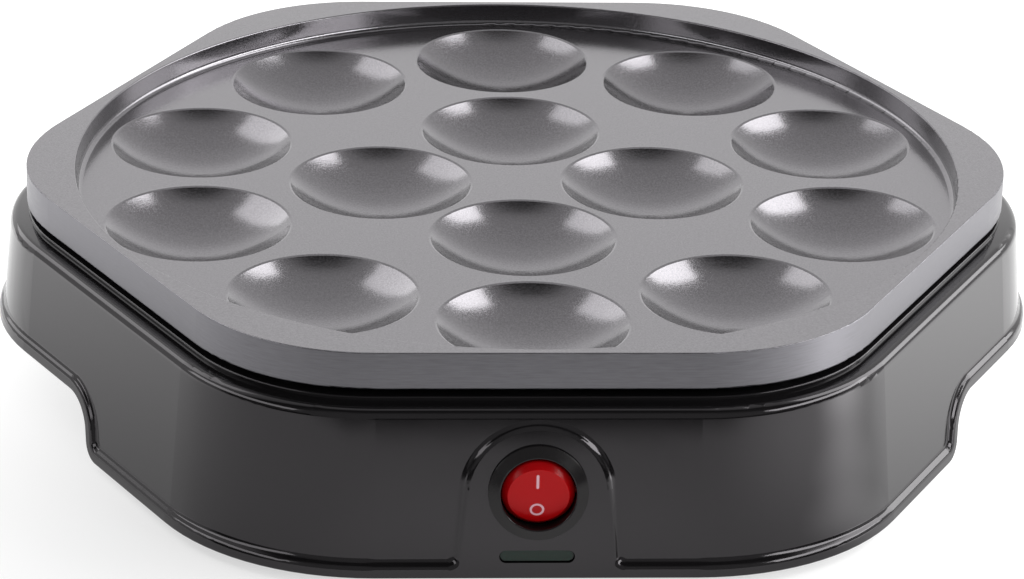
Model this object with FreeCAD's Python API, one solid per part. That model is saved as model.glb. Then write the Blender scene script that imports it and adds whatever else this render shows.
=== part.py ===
import FreeCAD, Part
import math
import os
from FreeCAD import Placement, Rotation, Vector

# Electric mini-pancake maker: a hexagonal dimpled baking plate on a low moulded base.
# Millimetres, +Z up. The origin lies on the table under the middle, and the switch faces -Y.

# Baking plate: one casting, a hexagon with rounded corners and a round recess
PLATE_INRADIUS = 112.0
PLATE_CORNER_RADIUS = 47.5
PLATE_SIDE_HEIGHT = 9.3
PLATE_EDGE_ROUND = 0.6
PLATE_TOP_ROUND = 0.25
PLATE_WEB = 3.2
RIM_WIDTH = 2.2
RIM_LAND_WIDTH = 7.2
RIM_INNER_ROUND = 0.4
RECESS_DEPTH = 5.7
RECESS_FOOT_RADIUS = 1.5
RECESS_WALL_DRAFT = 3.0

# Dimples: shallow spherical bowls in two rings
DIMPLE_RADIUS = 22.75
DIMPLE_DEPTH = 9.0
DIMPLE_EDGE_ROUND = 0.9
DIMPLE_WALL_GAP = 4.0
DIMPLE_RING_GAP = 3.6
DIMPLE_LEAST_GAP = 2.0

# Base shell: drafted walls that follow the plate's outline at a small offset
BASE_HEIGHT = 44.1
STANDING_HEIGHT = 2.0
PLATE_GAP = 1.8
SHELL_WALL = 2.4
WALL_TOP_OFFSET = 3.85
WALL_DRAFT = 5.2
LIP_SETBACK = 0.3
LIP_HEIGHT = 1.0
LIP_ROUND = 0.35
SHOULDER_SLOPE = 10.0
SHOULDER_RADIUS = 2.5
LEDGE_THICKNESS = 2.6
LEDGE_OVERLAP = 5.5

# Bead round the foot of the shell, stepping up over the finger cut-outs at left and right
BEAD_OFFSET = 9.0
BEAD_DRAFT = 5.61
BEAD_WIDTH = 4.25
BEAD_SLOPE = 1.6
BEAD_ROUND = 1.45
BEAD_FOOT_ROUND = 0.5
CUTOUT_HEIGHT = 15.7
STEP_PLACE = 3.8
STEP_ANGLE = 75.0
STEP_LOWER_RADIUS = 5.5
STEP_UPPER_RADIUS = 9.5

# Arched switch panel, flush with the bead
ARCH_TOP = 40.4
ARCH_FOOT_HALF_WIDTH = 19.5
ARCH_FLARE = 4.8
ARCH_FOOT_RADIUS = 1.0

# Rocker switch, in the panel's own frame: x across, y up the panel, z out of it
SWITCH_HEIGHT = 23.3
SWITCH_PANEL = 2.6
SWITCH_POCKET_RADIUS = 13.5
BEZEL_RADIUS = 11.5
BEZEL_PROUD = 2.0
BEZEL_RIM_HEIGHT = 0.75
BEZEL_ROUND = 0.3
BEZEL_MOUTH_CLEARANCE = 0.25
BARREL_RADIUS = 9.9
BARREL_FLOOR = 1.8
BARREL_CLEARANCE = 0.15
WING_REACH = 1.2
WING_WIDTH = 5.0
ROCKER_RADIUS = 8.45
ROCKER_CLEARANCE = 0.45
ROCKER_PROUD = 0.9
ROCKER_SKIRT = 4.6
ROCKER_RIDGE = 4.0
ROCKER_EDGE_SLOPE = 1.4
ROCKER_EDGE_ROUND = 0.8
ROCKER_REST_TILT = 12.0
PIVOT_DEPTH = 3.0
TRUNNION_RADIUS = 1.2
RUNNING_CLEARANCE = 0.06
PLUNGER_RADIUS = 1.4
PLUNGER_REACH = 5.2
SPRING_RADIUS = 1.15
SPRING_WIRE = 0.35
BLADE_LENGTH = 12.0
BLADE_WIDTH = 3.4
BLADE_THICKNESS = 0.6
BLADE_REST_TILT = 7.0
BLADE_GAP = 0.7
CONTACT_RADIUS = 1.3
CONTACT_HEIGHT = 0.6
CONTACT_GAP = 0.15
CONTACT_PAD_HEIGHT = 1.4
CRADLE_GAP = 0.25
SPADE_WIDTH = 4.8
SPADE_THICKNESS = 0.8
SPADE_LENGTH = 7.5

# Indicator: a slim lens in a slot under the switch
INDICATOR_HEIGHT = 7.5
SLOT_LENGTH = 17.4
SLOT_WIDTH = 3.1
LENS_RECESS = 0.7
LENS_CLEARANCE = 0.25
LENS_SEAT_DEPTH = 3.9
LENS_EAR = 2.3
LENS_EAR_THICKNESS = 1.2
LAMP_RADIUS = 1.5
LAMP_LENGTH = 5.0
LAMP_RISE = 1.5
LAMP_TUBE_WALL = 0.8
LAMP_TUBE_LENGTH = 3.0
HOLDER_THICKNESS = 1.8
STAKE_RADIUS = 0.8

# Bottom cover, feet and vents
COVER_RECESS = 1.2
COVER_THICKNESS = 2.0
COVER_CLEARANCE = 0.4
COVER_STEP_SETBACK = 1.4
COVER_STEP_LOWER_RADIUS = 3.0
COVER_STEP_UPPER_RADIUS = 5.0
COVER_SCREW_X = 50.0
COVER_SCREW_INSET = 8.0
COVER_SCREW_GRIP = 10.0
VENT_LENGTH = 34.0
VENT_WIDTH = 3.2
VENT_PITCH = 8.0
VENT_COUNT = 7
VENT_OFFSET = 42.0
FOOT_RADIUS = 7.5
FOOT_STEM_RADIUS = 2.6
FOOT_BARB = 0.9
FOOT_X = 62.0
FOOT_Y = 78.0

# Heating and its shield
ELEMENT_RADIUS = 3.25
ELEMENT_CLEARANCE = 0.2
ELEMENT_GAP_AZIMUTH = 36.0
ELEMENT_END_SPACING = 22.0
ELEMENT_BEND_RADIUS = 9.0
ELEMENT_END_DROP = 14.0
PIN_RADIUS = 1.25
PIN_LENGTH = 8.0
TAB_LENGTH = 9.0
TAB_WIDTH = 6.3
BEAD_LENGTH = 6.0
BEAD_RADIUS = 3.6
CHANNEL_WALL = 1.8
CHANNEL_RISE = 0.4
HUB_RADIUS = 21.0
HUB_DROP = 0.3
SHIELD_THICKNESS = 0.6
SHIELD_DROP = 2.2
SHIELD_RIM_HEIGHT = 4.4
SHIELD_RIM_LEAN = 6.0
SHIELD_BEND_RADIUS = 2.4
SHIELD_CENTRE_HOLE = 23.0
SHIELD_BEAD_HEIGHT = 1.0
SPACER_RING_GROWTH = 9.0
SHIELD_MARGIN = 6.6

# Thermostat and thermal fuse under the hub
HUB_AZIMUTH = 45.0
THERMOSTAT_CAP_RADIUS = 8.0
THERMOSTAT_CAP_HEIGHT = 5.0
THERMOSTAT_EAR_REACH = 12.0
THERMOSTAT_EAR_WIDTH = 7.0
THERMOSTAT_BODY_WIDTH = 15.0
THERMOSTAT_BODY_HEIGHT = 8.0
FUSE_RADIUS = 2.0
FUSE_LENGTH = 11.0
FUSE_OFFSET = 11.6
CLIP_WIDTH = 6.0
CLIP_THICKNESS = 0.8
CLIP_SCREW_OFFSET = 17.6

# Lugs, pillars and fasteners
PLATE_BOSS_RADIUS = 4.5
PLATE_BOSS_GAP = 1.0
LUG_HALF_WIDTH = 6.5
LUG_THICKNESS = 3.0
WASHER_THICKNESS = 0.8
WASHER_RADIUS = 5.2
PILLAR_RADIUS = 4.2
M4_RADIUS = 1.95
M4_HEAD_RADIUS = 3.9
M4_HEAD_HEIGHT = 2.6
M3_RADIUS = 1.45
M3_HEAD_RADIUS = 2.8
M3_HEAD_HEIGHT = 2.0
THREAD_CLEARANCE = 0.05
PASS_CLEARANCE = 0.25
BOSS_LENGTH = 5.9

# Cord outlet, clamp and terminal block at the back
CORD_OUTLET_HEIGHT = 16.5
CORD_BORE_RADIUS = 3.5
OUTLET_COLLAR_RADIUS = 9.0
OUTLET_COLLAR_OFFSET = 8.25
BUSH_RADIUS = 5.4
BUSH_FLANGE_RADIUS = 7.4
BUSH_FLANGE_THICKNESS = 1.6
BUSH_MOUTH_ROUND = 1.1
BUSH_SNAP_THICKNESS = 1.5
BUSH_SNAP_RADIUS = 6.3
CLAMP_HALF_WIDTH = 14.0
CLAMP_SCREW_X = 9.5
CLAMP_LENGTH = 7.0
CLAMP_SETBACK = 16.0
CLAMP_FLOOR = 4.2
SHELF_THICKNESS = 4.0
BLOCK_X = -40.0
BLOCK_INSET = 36.0
BLOCK_LENGTH = 30.0
BLOCK_WIDTH = 17.0
BLOCK_HEIGHT = 12.0
BLOCK_STAND = 4.0
BLOCK_POLES = 3
BLOCK_SLEEVE_RADIUS = 2.3

# Levels worked out from the sizes above
UP = Vector(0, 0, 1)
ORIGIN = Vector(0, 0, 0)
PLATE_SIDE_BOTTOM = BASE_HEIGHT + PLATE_GAP
PLATE_TOP = PLATE_SIDE_BOTTOM + PLATE_SIDE_HEIGHT
RECESS_FLOOR = PLATE_TOP - RECESS_DEPTH
WEB_BOTTOM = RECESS_FLOOR - PLATE_WEB
BULGE_BOTTOM = WEB_BOTTOM - DIMPLE_DEPTH
CHANNEL_BOTTOM = BULGE_BOTTOM + CHANNEL_RISE
HUB_BOTTOM = BULGE_BOTTOM - HUB_DROP
BOSS_BOTTOM = WEB_BOTTOM - BOSS_LENGTH
ELEMENT_LEVEL = CHANNEL_BOTTOM + ELEMENT_RADIUS + ELEMENT_CLEARANCE
SHIELD_TOP = BULGE_BOTTOM - SHIELD_DROP
COVER_BOTTOM = STANDING_HEIGHT + COVER_RECESS
COVER_TOP = COVER_BOTTOM + COVER_THICKNESS
LUG_TOP = BOSS_BOTTOM - WASHER_THICKNESS
LEDGE_BOTTOM = BASE_HEIGHT - LEDGE_THICKNESS

# Plan sizes worked out from the sizes above
SIDE_CENTRE = PLATE_INRADIUS - PLATE_CORNER_RADIUS
CORNER_CENTRE = SIDE_CENTRE / math.cos(math.radians(30))
SIDE_LENGTH = 2 * SIDE_CENTRE * math.tan(math.radians(30))
RECESS_RADIUS = PLATE_INRADIUS - RIM_WIDTH
OUTER_RING_RADIUS = RECESS_RADIUS - DIMPLE_WALL_GAP - DIMPLE_RADIUS
INNER_RING_RADIUS = OUTER_RING_RADIUS - 2 * DIMPLE_RADIUS - DIMPLE_RING_GAP
ELEMENT_RING_RADIUS = (OUTER_RING_RADIUS + INNER_RING_RADIUS) / 2
SPACER_RING_RADIUS = OUTER_RING_RADIUS + SPACER_RING_GROWTH
SHIELD_RADIUS = SPACER_RING_RADIUS + SHIELD_MARGIN
PLATE_SCREW_REACH = PLATE_CORNER_RADIUS - LEDGE_OVERLAP - PLATE_BOSS_RADIUS - PLATE_BOSS_GAP
PLATE_SCREW_RADIUS = CORNER_CENTRE + PLATE_SCREW_REACH
BOWL_RADIUS = (DIMPLE_RADIUS ** 2 + DIMPLE_DEPTH ** 2) / (2 * DIMPLE_DEPTH)
BOWL_LEVEL = RECESS_FLOOR - DIMPLE_DEPTH + BOWL_RADIUS
STEP_RISE = CUTOUT_HEIGHT - STANDING_HEIGHT
BLOCK_Y = PLATE_INRADIUS - BLOCK_INSET

# Depths behind the switch panel, worked out from the sizes above
BLADE_DEPTH = PIVOT_DEPTH + PLUNGER_REACH + BLADE_GAP
BLADE_AXIS_DEPTH = BLADE_DEPTH + BLADE_THICKNESS
LOAD_CONTACT_UP = CONTACT_RADIUS - BLADE_LENGTH / 2
CLOSED_DEPTH = BLADE_AXIS_DEPTH + CONTACT_HEIGHT - LOAD_CONTACT_UP * math.sin(math.radians(BLADE_REST_TILT))
BARREL_DEPTH = CLOSED_DEPTH + CONTACT_GAP + CONTACT_PAD_HEIGHT + BARREL_FLOOR


def sine(degrees):
    return math.sin(math.radians(degrees))


def cosine(degrees):
    return math.cos(math.radians(degrees))


def tangent(degrees):
    return math.tan(math.radians(degrees))


def polar(radius, azimuth, level=0.0):
    """Point at a distance and bearing from the middle of the appliance."""
    return Vector(radius * cosine(azimuth), radius * sine(azimuth), level)


def outline(corners):
    """Face in the XZ plane; each corner is (x, z), or (x, z, radius) where it is rounded."""
    count = len(corners)
    bends = []
    for index, corner in enumerate(corners):
        here = Vector(corner[0], 0, corner[1])
        radius = corner[2] if len(corner) > 2 else 0.0
        if radius == 0.0:
            bends.append((here, None, here))
            continue
        back = corners[index - 1]
        ahead = corners[(index + 1) % count]
        towards_back = (Vector(back[0], 0, back[1]) - here).normalize()
        towards_ahead = (Vector(ahead[0], 0, ahead[1]) - here).normalize()
        half_angle = towards_back.getAngle(towards_ahead) / 2
        reach = radius / math.tan(half_angle)
        middle = (towards_back + towards_ahead).normalize()
        middle = here + middle * (radius / math.sin(half_angle) - radius)
        bends.append((here + towards_back * reach, middle, here + towards_ahead * reach))
    edges = []
    for index, (entry, middle, leave) in enumerate(bends):
        if middle is not None:
            edges.append(Part.Arc(entry, middle, leave).toShape())
        following = bends[(index + 1) % count][0]
        if leave.distanceToPoint(following) > 1e-6:
            edges.append(Part.makeLine(leave, following))
    return Part.Face(Part.Wire(edges))


def joined(shapes):
    """One solid from shapes that touch or overlap, with the seams between them removed."""
    shapes = list(shapes)
    if len(shapes) == 1:
        return shapes[0]
    return shapes[0].multiFuse(shapes[1:]).removeSplitter()


def group(shapes):
    """Separate solids kept side by side in one node."""
    return Part.makeCompound(list(shapes))


def turned(corners, angle=360):
    """Solid turned about Z from an outline whose x is the radius."""
    return outline(corners).revolve(ORIGIN, UP, angle)


def cylinder(radius, low, high, x=0.0, y=0.0):
    return Part.makeCylinder(radius, high - low, Vector(x, y, low))


def box(x_low, x_high, y_low, y_high, z_low, z_high):
    size = (x_high - x_low, y_high - y_low, z_high - z_low)
    return Part.makeBox(*size, Vector(x_low, y_low, z_low))


def moved(shape, x=0.0, y=0.0, z=0.0, azimuth=0.0):
    """Copy of a shape, turned about Z and then carried to a place."""
    result = shape.copy()
    result.rotate(ORIGIN, UP, azimuth)
    result.translate(Vector(x, y, z))
    return result


def plate_reach(offset):
    """Distance outward from the line of corner centres, for an offset from the plate's side."""
    return PLATE_CORNER_RADIUS + offset


def hexagon_band(corners):
    """Closed outline carried round the rounded hexagon; x is the reach from corner centres."""
    profile = outline(corners)
    pieces = []
    for index in range(6):
        corner = profile.copy()
        corner.rotate(ORIGIN, UP, -30)
        corner = corner.revolve(ORIGIN, UP, 60)
        corner.translate(Vector(CORNER_CENTRE, 0, 0))
        corner.rotate(ORIGIN, UP, 60 * index)
        side = profile.copy()
        side.translate(Vector(SIDE_CENTRE, -SIDE_LENGTH / 2, 0))
        side = side.extrude(Vector(0, SIDE_LENGTH, 0))
        side.rotate(ORIGIN, UP, 60 * index + 30)
        pieces += [corner, side]
    return pieces


def hexagon_solid(edge_corners):
    """Filled rounded hexagon; the corners run up its edge, from the lowest to the highest."""
    low = edge_corners[0][1]
    high = edge_corners[-1][1]
    core_points = [polar(CORNER_CENTRE, 60 * index, low) for index in range(7)]
    core = Part.Face(Part.makePolygon(core_points)).extrude(Vector(0, 0, high - low))
    band = hexagon_band([(0.0, low)] + edge_corners + [(0.0, high)])
    return joined([core] + band)


def side_prism(corners, azimuth, mirrored=False):
    """Outline across one side of the hexagon, carried straight through that side's wall.

    x runs along the side, towards greater bearings unless mirrored, and 0 is its middle.
    """
    if mirrored:
        corners = [(-corner[0],) + tuple(corner[1:]) for corner in reversed(corners)]
    wall_depth = 2 * (BEAD_OFFSET + SHELL_WALL)
    prism = outline(corners)
    prism.translate(Vector(0, -(PLATE_INRADIUS + wall_depth), 0))
    prism = prism.extrude(Vector(0, 2 * wall_depth, 0))
    prism.rotate(ORIGIN, UP, azimuth - 270)
    return prism


def corner_sector(azimuth, low, high):
    """Wedge of the rounded corner at one bearing, between two levels."""
    reach = plate_reach(2 * BEAD_OFFSET)
    sector = Part.makeCylinder(reach, high - low, Vector(0, 0, low), UP, 60)
    sector.rotate(ORIGIN, UP, -30)
    return moved(moved(sector, x=CORNER_CENTRE), azimuth=azimuth)


def slanted_sides():
    """Bearing of each slanted side, and whether left or right lies towards lesser bearings."""
    return [(30, True), (150, False), (210, True), (330, False)]


def ring_places(radius, least_gap):
    """Places of the dimples in one ring, as many as fit, the first one towards the back."""
    share = (DIMPLE_RADIUS + least_gap / 2) / radius if radius > 0 else 2.0
    if share > 1.0:
        return [(0.0, 90.0)]
    count = int(math.pi / math.asin(share))
    return [(radius, 90.0 + 360.0 / count * index) for index in range(count)]


def dimple_places():
    outer = ring_places(OUTER_RING_RADIUS, DIMPLE_LEAST_GAP)
    inner = ring_places(INNER_RING_RADIUS, DIMPLE_LEAST_GAP)
    return outer + inner


def between_dimples(wanted):
    """Bearing halfway between two outer dimples, the nearest to the one wanted."""
    pitch = 360.0 / len(ring_places(OUTER_RING_RADIUS, DIMPLE_LEAST_GAP))
    steps = round((wanted - 90.0 - pitch / 2) / pitch)
    return 90.0 + pitch / 2 + pitch * steps


def spacer_places():
    bearings = [between_dimples(wanted) for wanted in (36, 144, 216, 324)]
    return [polar(SPACER_RING_RADIUS, bearing) for bearing in bearings]


def earth_place():
    return polar(SPACER_RING_RADIUS, between_dimples(108))


def plate_screw_places():
    return [polar(PLATE_SCREW_RADIUS, 60 * index) for index in range(6)]


def on_hub(along, across):
    """Point under the hub, along the thermostat's ears and across them."""
    return polar(along, HUB_AZIMUTH) + polar(across, HUB_AZIMUTH + 90)


def baking_plate():
    edge = [
        (plate_reach(0), PLATE_SIDE_BOTTOM, PLATE_EDGE_ROUND),
        (plate_reach(0), PLATE_TOP, PLATE_TOP_ROUND),
    ]
    plate = hexagon_solid([(plate_reach(-RIM_LAND_WIDTH), PLATE_SIDE_BOTTOM)] + edge
                          + [(plate_reach(-RIM_WIDTH), PLATE_TOP)])
    underside = [
        (plate_reach(-RIM_LAND_WIDTH), PLATE_SIDE_BOTTOM - 1),
        (plate_reach(-RIM_LAND_WIDTH), WEB_BOTTOM),
    ]
    plate = plate.cut(hexagon_solid(underside))

    added = [cylinder(HUB_RADIUS, HUB_BOTTOM, RECESS_FLOOR)]
    outer_bowl = BOWL_RADIUS + PLATE_WEB
    cap_latitude = -math.degrees(math.asin((BOWL_LEVEL - WEB_BOTTOM - PLATE_WEB / 3) / outer_bowl))
    for radius, azimuth in dimple_places():
        centre = polar(radius, azimuth, BOWL_LEVEL)
        added.append(Part.makeSphere(outer_bowl, centre, UP, -90, cap_latitude, 360))
    for place in plate_screw_places() + spacer_places() + [earth_place()]:
        added.append(cylinder(PLATE_BOSS_RADIUS, BOSS_BOTTOM, WEB_BOTTOM + 1, place.x, place.y))
    added.append(element_channel())
    plate = joined([plate] + added)

    recess = turned([
        (0, RECESS_FLOOR),
        (RECESS_RADIUS - RECESS_DEPTH * tangent(RECESS_WALL_DRAFT), RECESS_FLOOR, RECESS_FOOT_RADIUS),
        (RECESS_RADIUS, PLATE_TOP, RIM_INNER_ROUND),
        (RECESS_RADIUS + 1, PLATE_TOP),
        (RECESS_RADIUS + 1, PLATE_TOP + 1),
        (0, PLATE_TOP + 1),
    ])
    floor_latitude = -math.degrees(math.asin((BOWL_LEVEL - RECESS_FLOOR) / BOWL_RADIUS))
    bowls = []
    for radius, azimuth in dimple_places():
        centre = polar(radius, azimuth, BOWL_LEVEL)
        bowls.append(Part.makeSphere(BOWL_RADIUS, centre, UP, -90, floor_latitude, 360))
    plate = plate.cut([recess] + bowls)
    rims = [edge for edge in plate.Edges if is_dimple_rim(edge)]
    plate = plate.makeFillet(DIMPLE_EDGE_ROUND, rims)

    holes = [element_groove()]
    hole_top = WEB_BOTTOM + PLATE_WEB / 3
    for place in plate_screw_places():
        holes.append(cylinder(M4_RADIUS, BOSS_BOTTOM - 1, hole_top, place.x, place.y))
    for place in spacer_places() + [earth_place()]:
        holes.append(cylinder(M3_RADIUS, BOSS_BOTTOM - 1, hole_top, place.x, place.y))
    for place in hub_screw_places():
        holes.append(cylinder(M3_RADIUS, HUB_BOTTOM - 1, HUB_BOTTOM + BOSS_LENGTH, place.x, place.y))
    return plate.cut(holes)


def is_dimple_rim(edge):
    """Whether an edge is the sharp circle where a bowl opens in the recess floor."""
    if edge.Degenerated or not isinstance(edge.Curve, Part.Circle):
        return False
    at_floor = abs(edge.Curve.Center.z - RECESS_FLOOR) < 0.001
    return at_floor and abs(edge.Curve.Radius - DIMPLE_RADIUS) < 0.001


def hub_screw_places():
    ears = [on_hub(THERMOSTAT_EAR_REACH, 0), on_hub(-THERMOSTAT_EAR_REACH, 0)]
    return ears + [on_hub(0, CLIP_SCREW_OFFSET)]


def element_half_gap():
    """Half the angle at the middle between the two ends of the heating ring."""
    half_chord = ELEMENT_END_SPACING / 2 + ELEMENT_BEND_RADIUS
    return math.degrees(math.asin(half_chord / ELEMENT_RING_RADIUS))


def element_channel():
    """Raised channel under the plate, which ends where the ring turns down."""
    half_width = ELEMENT_RADIUS + ELEMENT_CLEARANCE + CHANNEL_WALL
    inner = ELEMENT_RING_RADIUS - half_width
    outer = ELEMENT_RING_RADIUS + half_width
    section = [
        (inner, CHANNEL_BOTTOM, CHANNEL_WALL / 2),
        (outer, CHANNEL_BOTTOM, CHANNEL_WALL / 2),
        (outer, WEB_BOTTOM + 1),
        (inner, WEB_BOTTOM + 1),
    ]
    half_gap = element_half_gap() + 2
    channel = turned(section, 360 - 2 * half_gap)
    return moved(channel, azimuth=ELEMENT_GAP_AZIMUTH + half_gap)


def element_groove():
    half_width = ELEMENT_RADIUS + ELEMENT_CLEARANCE
    ring = ELEMENT_RING_RADIUS
    section = [
        (ring - half_width, CHANNEL_BOTTOM - 1),
        (ring + half_width, CHANNEL_BOTTOM - 1),
        (ring + half_width, ELEMENT_LEVEL + half_width, half_width),
        (ring - half_width, ELEMENT_LEVEL + half_width, half_width),
    ]
    return turned(section)


def element_end(side):
    """Frame of one end of the ring: where the arc stops, and the direction it runs on."""
    azimuth = ELEMENT_GAP_AZIMUTH + side * element_half_gap()
    start = polar(ELEMENT_RING_RADIUS, azimuth, ELEMENT_LEVEL)
    along = polar(1, azimuth - side * 90)
    return start, along


def element_pin_place(side):
    """Axis of the straight end that comes down through the shield."""
    start, along = element_end(side)
    return start + along * ELEMENT_BEND_RADIUS


def heating_element():
    ring = Part.Face(Part.Wire(Part.makeCircle(
        ELEMENT_RADIUS, Vector(ELEMENT_RING_RADIUS, 0, ELEMENT_LEVEL), Vector(0, 1, 0))))
    ring = ring.revolve(ORIGIN, UP, 360 - 2 * element_half_gap())
    pieces = [moved(ring, azimuth=ELEMENT_GAP_AZIMUTH + element_half_gap())]
    for side in (1, -1):
        start, along = element_end(side)
        across = along.cross(UP)
        bend = Part.Face(Part.Wire(Part.makeCircle(ELEMENT_RADIUS, start, along)))
        pieces.append(bend.revolve(start - UP * ELEMENT_BEND_RADIUS, across, -90))
        place = element_pin_place(side)
        top = ELEMENT_LEVEL - ELEMENT_BEND_RADIUS
        pieces.append(cylinder(ELEMENT_RADIUS, ELEMENT_LEVEL - ELEMENT_END_DROP, top,
                               place.x, place.y))
    return joined(pieces)


def shield_rim_radius(level):
    return SHIELD_RADIUS + (level - SHIELD_TOP) * tangent(SHIELD_RIM_LEAN)


def heat_shield():
    low = SHIELD_TOP - SHIELD_THICKNESS
    rim_top = SHIELD_TOP + SHIELD_RIM_HEIGHT
    bead_in = ELEMENT_RING_RADIUS - 4 * SHIELD_BEND_RADIUS
    bead_out = bead_in - 2 * SHIELD_BEND_RADIUS
    bead = SHIELD_BEAD_HEIGHT
    outer_bend = SHIELD_BEND_RADIUS + SHIELD_THICKNESS
    dish = turned([
        (SHIELD_CENTRE_HOLE, low),
        (bead_out - bead, low),
        (bead_out, low - bead),
        (bead_in, low - bead),
        (bead_in + bead, low),
        (shield_rim_radius(low) + SHIELD_THICKNESS, low, outer_bend),
        (shield_rim_radius(rim_top) + SHIELD_THICKNESS, rim_top),
        (shield_rim_radius(rim_top), rim_top),
        (shield_rim_radius(SHIELD_TOP), SHIELD_TOP, SHIELD_BEND_RADIUS),
        (bead_in + bead, SHIELD_TOP),
        (bead_in, SHIELD_TOP - bead),
        (bead_out, SHIELD_TOP - bead),
        (bead_out - bead, SHIELD_TOP),
        (SHIELD_CENTRE_HOLE, SHIELD_TOP),
    ])
    holes = []
    for side in (1, -1):
        place = element_pin_place(side)
        holes.append(cylinder(ELEMENT_RADIUS + 2, low - 2, SHIELD_TOP + 2, place.x, place.y))
    for place in spacer_places():
        holes.append(cylinder(M3_RADIUS + PASS_CLEARANCE, low - 2, SHIELD_TOP + 2, place.x, place.y))
    return dish.cut(holes)


def screw(shank_radius, head_radius, head_height, length, point=0.6):
    """Pan-head screw pointing up, its head's seat at the origin."""
    return turned([
        (0, -head_height),
        (head_radius * 0.75, -head_height, head_height / 3),
        (head_radius, -head_height / 2, head_height / 4),
        (head_radius, 0),
        (shank_radius, 0),
        (shank_radius, length - point),
        (shank_radius - point, length),
        (0, length),
    ])


def m3_screw(length):
    return screw(M3_RADIUS - THREAD_CLEARANCE, M3_HEAD_RADIUS, M3_HEAD_HEIGHT, length)


def m4_screw(length):
    return screw(M4_RADIUS - THREAD_CLEARANCE, M4_HEAD_RADIUS, M4_HEAD_HEIGHT, length)


def shield_spacers():
    tube = cylinder(PLATE_BOSS_RADIUS - 0.5, SHIELD_TOP, BOSS_BOTTOM)
    tube = tube.cut(cylinder(M3_RADIUS + PASS_CLEARANCE, SHIELD_TOP - 1, BOSS_BOTTOM + 1))
    return group(moved(tube, place.x, place.y) for place in spacer_places())


def shield_screws():
    seat = SHIELD_TOP - SHIELD_THICKNESS
    shank = m3_screw(BOSS_BOTTOM + BOSS_LENGTH - seat)
    return group(moved(shank, place.x, place.y, seat) for place in spacer_places())


def blade_tab(top, length):
    """Flat push-on tab hanging down from a level, at the origin."""
    half = TAB_WIDTH / 2
    thick = SPADE_THICKNESS / 2
    return box(-half, half, -thick, thick, top - length, top)


def element_terminals():
    """Cold pins out of the heating ring, each ending in a flat spade."""
    top = ELEMENT_LEVEL - ELEMENT_END_DROP
    pins = []
    for side in (1, -1):
        place = element_pin_place(side)
        tab_top = top - PIN_LENGTH
        pin = cylinder(PIN_RADIUS, tab_top - TAB_LENGTH / 6, top, place.x, place.y)
        tab = blade_tab(tab_top, TAB_LENGTH)
        pins.append(joined([pin, moved(tab, place.x, place.y, azimuth=ELEMENT_GAP_AZIMUTH)]))
    return group(pins)


def element_beads():
    top = ELEMENT_LEVEL - ELEMENT_END_DROP
    bead = turned([
        (PIN_RADIUS + THREAD_CLEARANCE, top - BEAD_LENGTH),
        (BEAD_RADIUS, top - BEAD_LENGTH, BEAD_LENGTH / 10),
        (BEAD_RADIUS, top, BEAD_LENGTH / 10),
        (PIN_RADIUS + THREAD_CLEARANCE, top),
    ])
    places = [element_pin_place(side) for side in (1, -1)]
    return group(moved(bead, place.x, place.y) for place in places)


def thermostat_cap():
    """Metal cup that takes the heat, with its two screwed ears."""
    top = HUB_BOTTOM
    cup = turned([
        (0, top - THERMOSTAT_CAP_HEIGHT),
        (THERMOSTAT_CAP_RADIUS, top - THERMOSTAT_CAP_HEIGHT, 0.5),
        (THERMOSTAT_CAP_RADIUS, top),
        (0, top),
    ])
    half = THERMOSTAT_EAR_WIDTH / 2
    reach = THERMOSTAT_EAR_REACH
    thickness = CLIP_THICKNESS
    ears = [cup, box(-reach, reach, -half, half, top - thickness, top)]
    for x in (-reach, reach):
        ears.append(cylinder(half, top - thickness, top, x))
    cap = joined(ears)
    for x in (-reach, reach):
        cap = cap.cut(cylinder(M3_RADIUS + PASS_CLEARANCE, top - 2, top + 1, x))
    return moved(cap, azimuth=HUB_AZIMUTH)


def thermostat_body():
    top = HUB_BOTTOM - THERMOSTAT_CAP_HEIGHT
    low = top - THERMOSTAT_BODY_HEIGHT
    half = THERMOSTAT_BODY_WIDTH / 2
    block = Part.Face(outline([(-half, -half, 2), (half, -half, 2), (half, half, 2),
                               (-half, half, 2)]).OuterWire)
    block.rotate(ORIGIN, Vector(1, 0, 0), -90)
    block.translate(Vector(0, 0, low))
    block = block.extrude(Vector(0, 0, THERMOSTAT_BODY_HEIGHT))
    return moved(block, azimuth=HUB_AZIMUTH)


def thermostat_blades():
    low = HUB_BOTTOM - THERMOSTAT_CAP_HEIGHT - THERMOSTAT_BODY_HEIGHT
    blades = []
    for side in (-1, 1):
        blade = moved(blade_tab(low, SPADE_LENGTH), side * THERMOSTAT_BODY_WIDTH * 0.3, azimuth=90)
        blades.append(moved(blade, azimuth=HUB_AZIMUTH))
    return group(blades)


def hub_screws(places):
    seat = HUB_BOTTOM - CLIP_THICKNESS
    return group(moved(m3_screw(BOSS_LENGTH), place.x, place.y, seat) for place in places)


def thermal_fuse():
    level = HUB_BOTTOM - FUSE_RADIUS
    half = FUSE_LENGTH / 2
    body = turned([
        (0, -half),
        (FUSE_RADIUS * 0.45, -half),
        (FUSE_RADIUS, -half + 1.6, 0.4),
        (FUSE_RADIUS, half, 0.3),
        (0, half),
    ])
    leads = cylinder(0.5, -half - 8, half + 8)
    fuse = joined([body, leads])
    fuse.rotate(ORIGIN, Vector(0, 1, 0), 90)
    fuse.rotate(ORIGIN, UP, HUB_AZIMUTH)
    place = on_hub(0, FUSE_OFFSET)
    fuse.translate(Vector(place.x, place.y, level))
    return fuse


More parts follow.
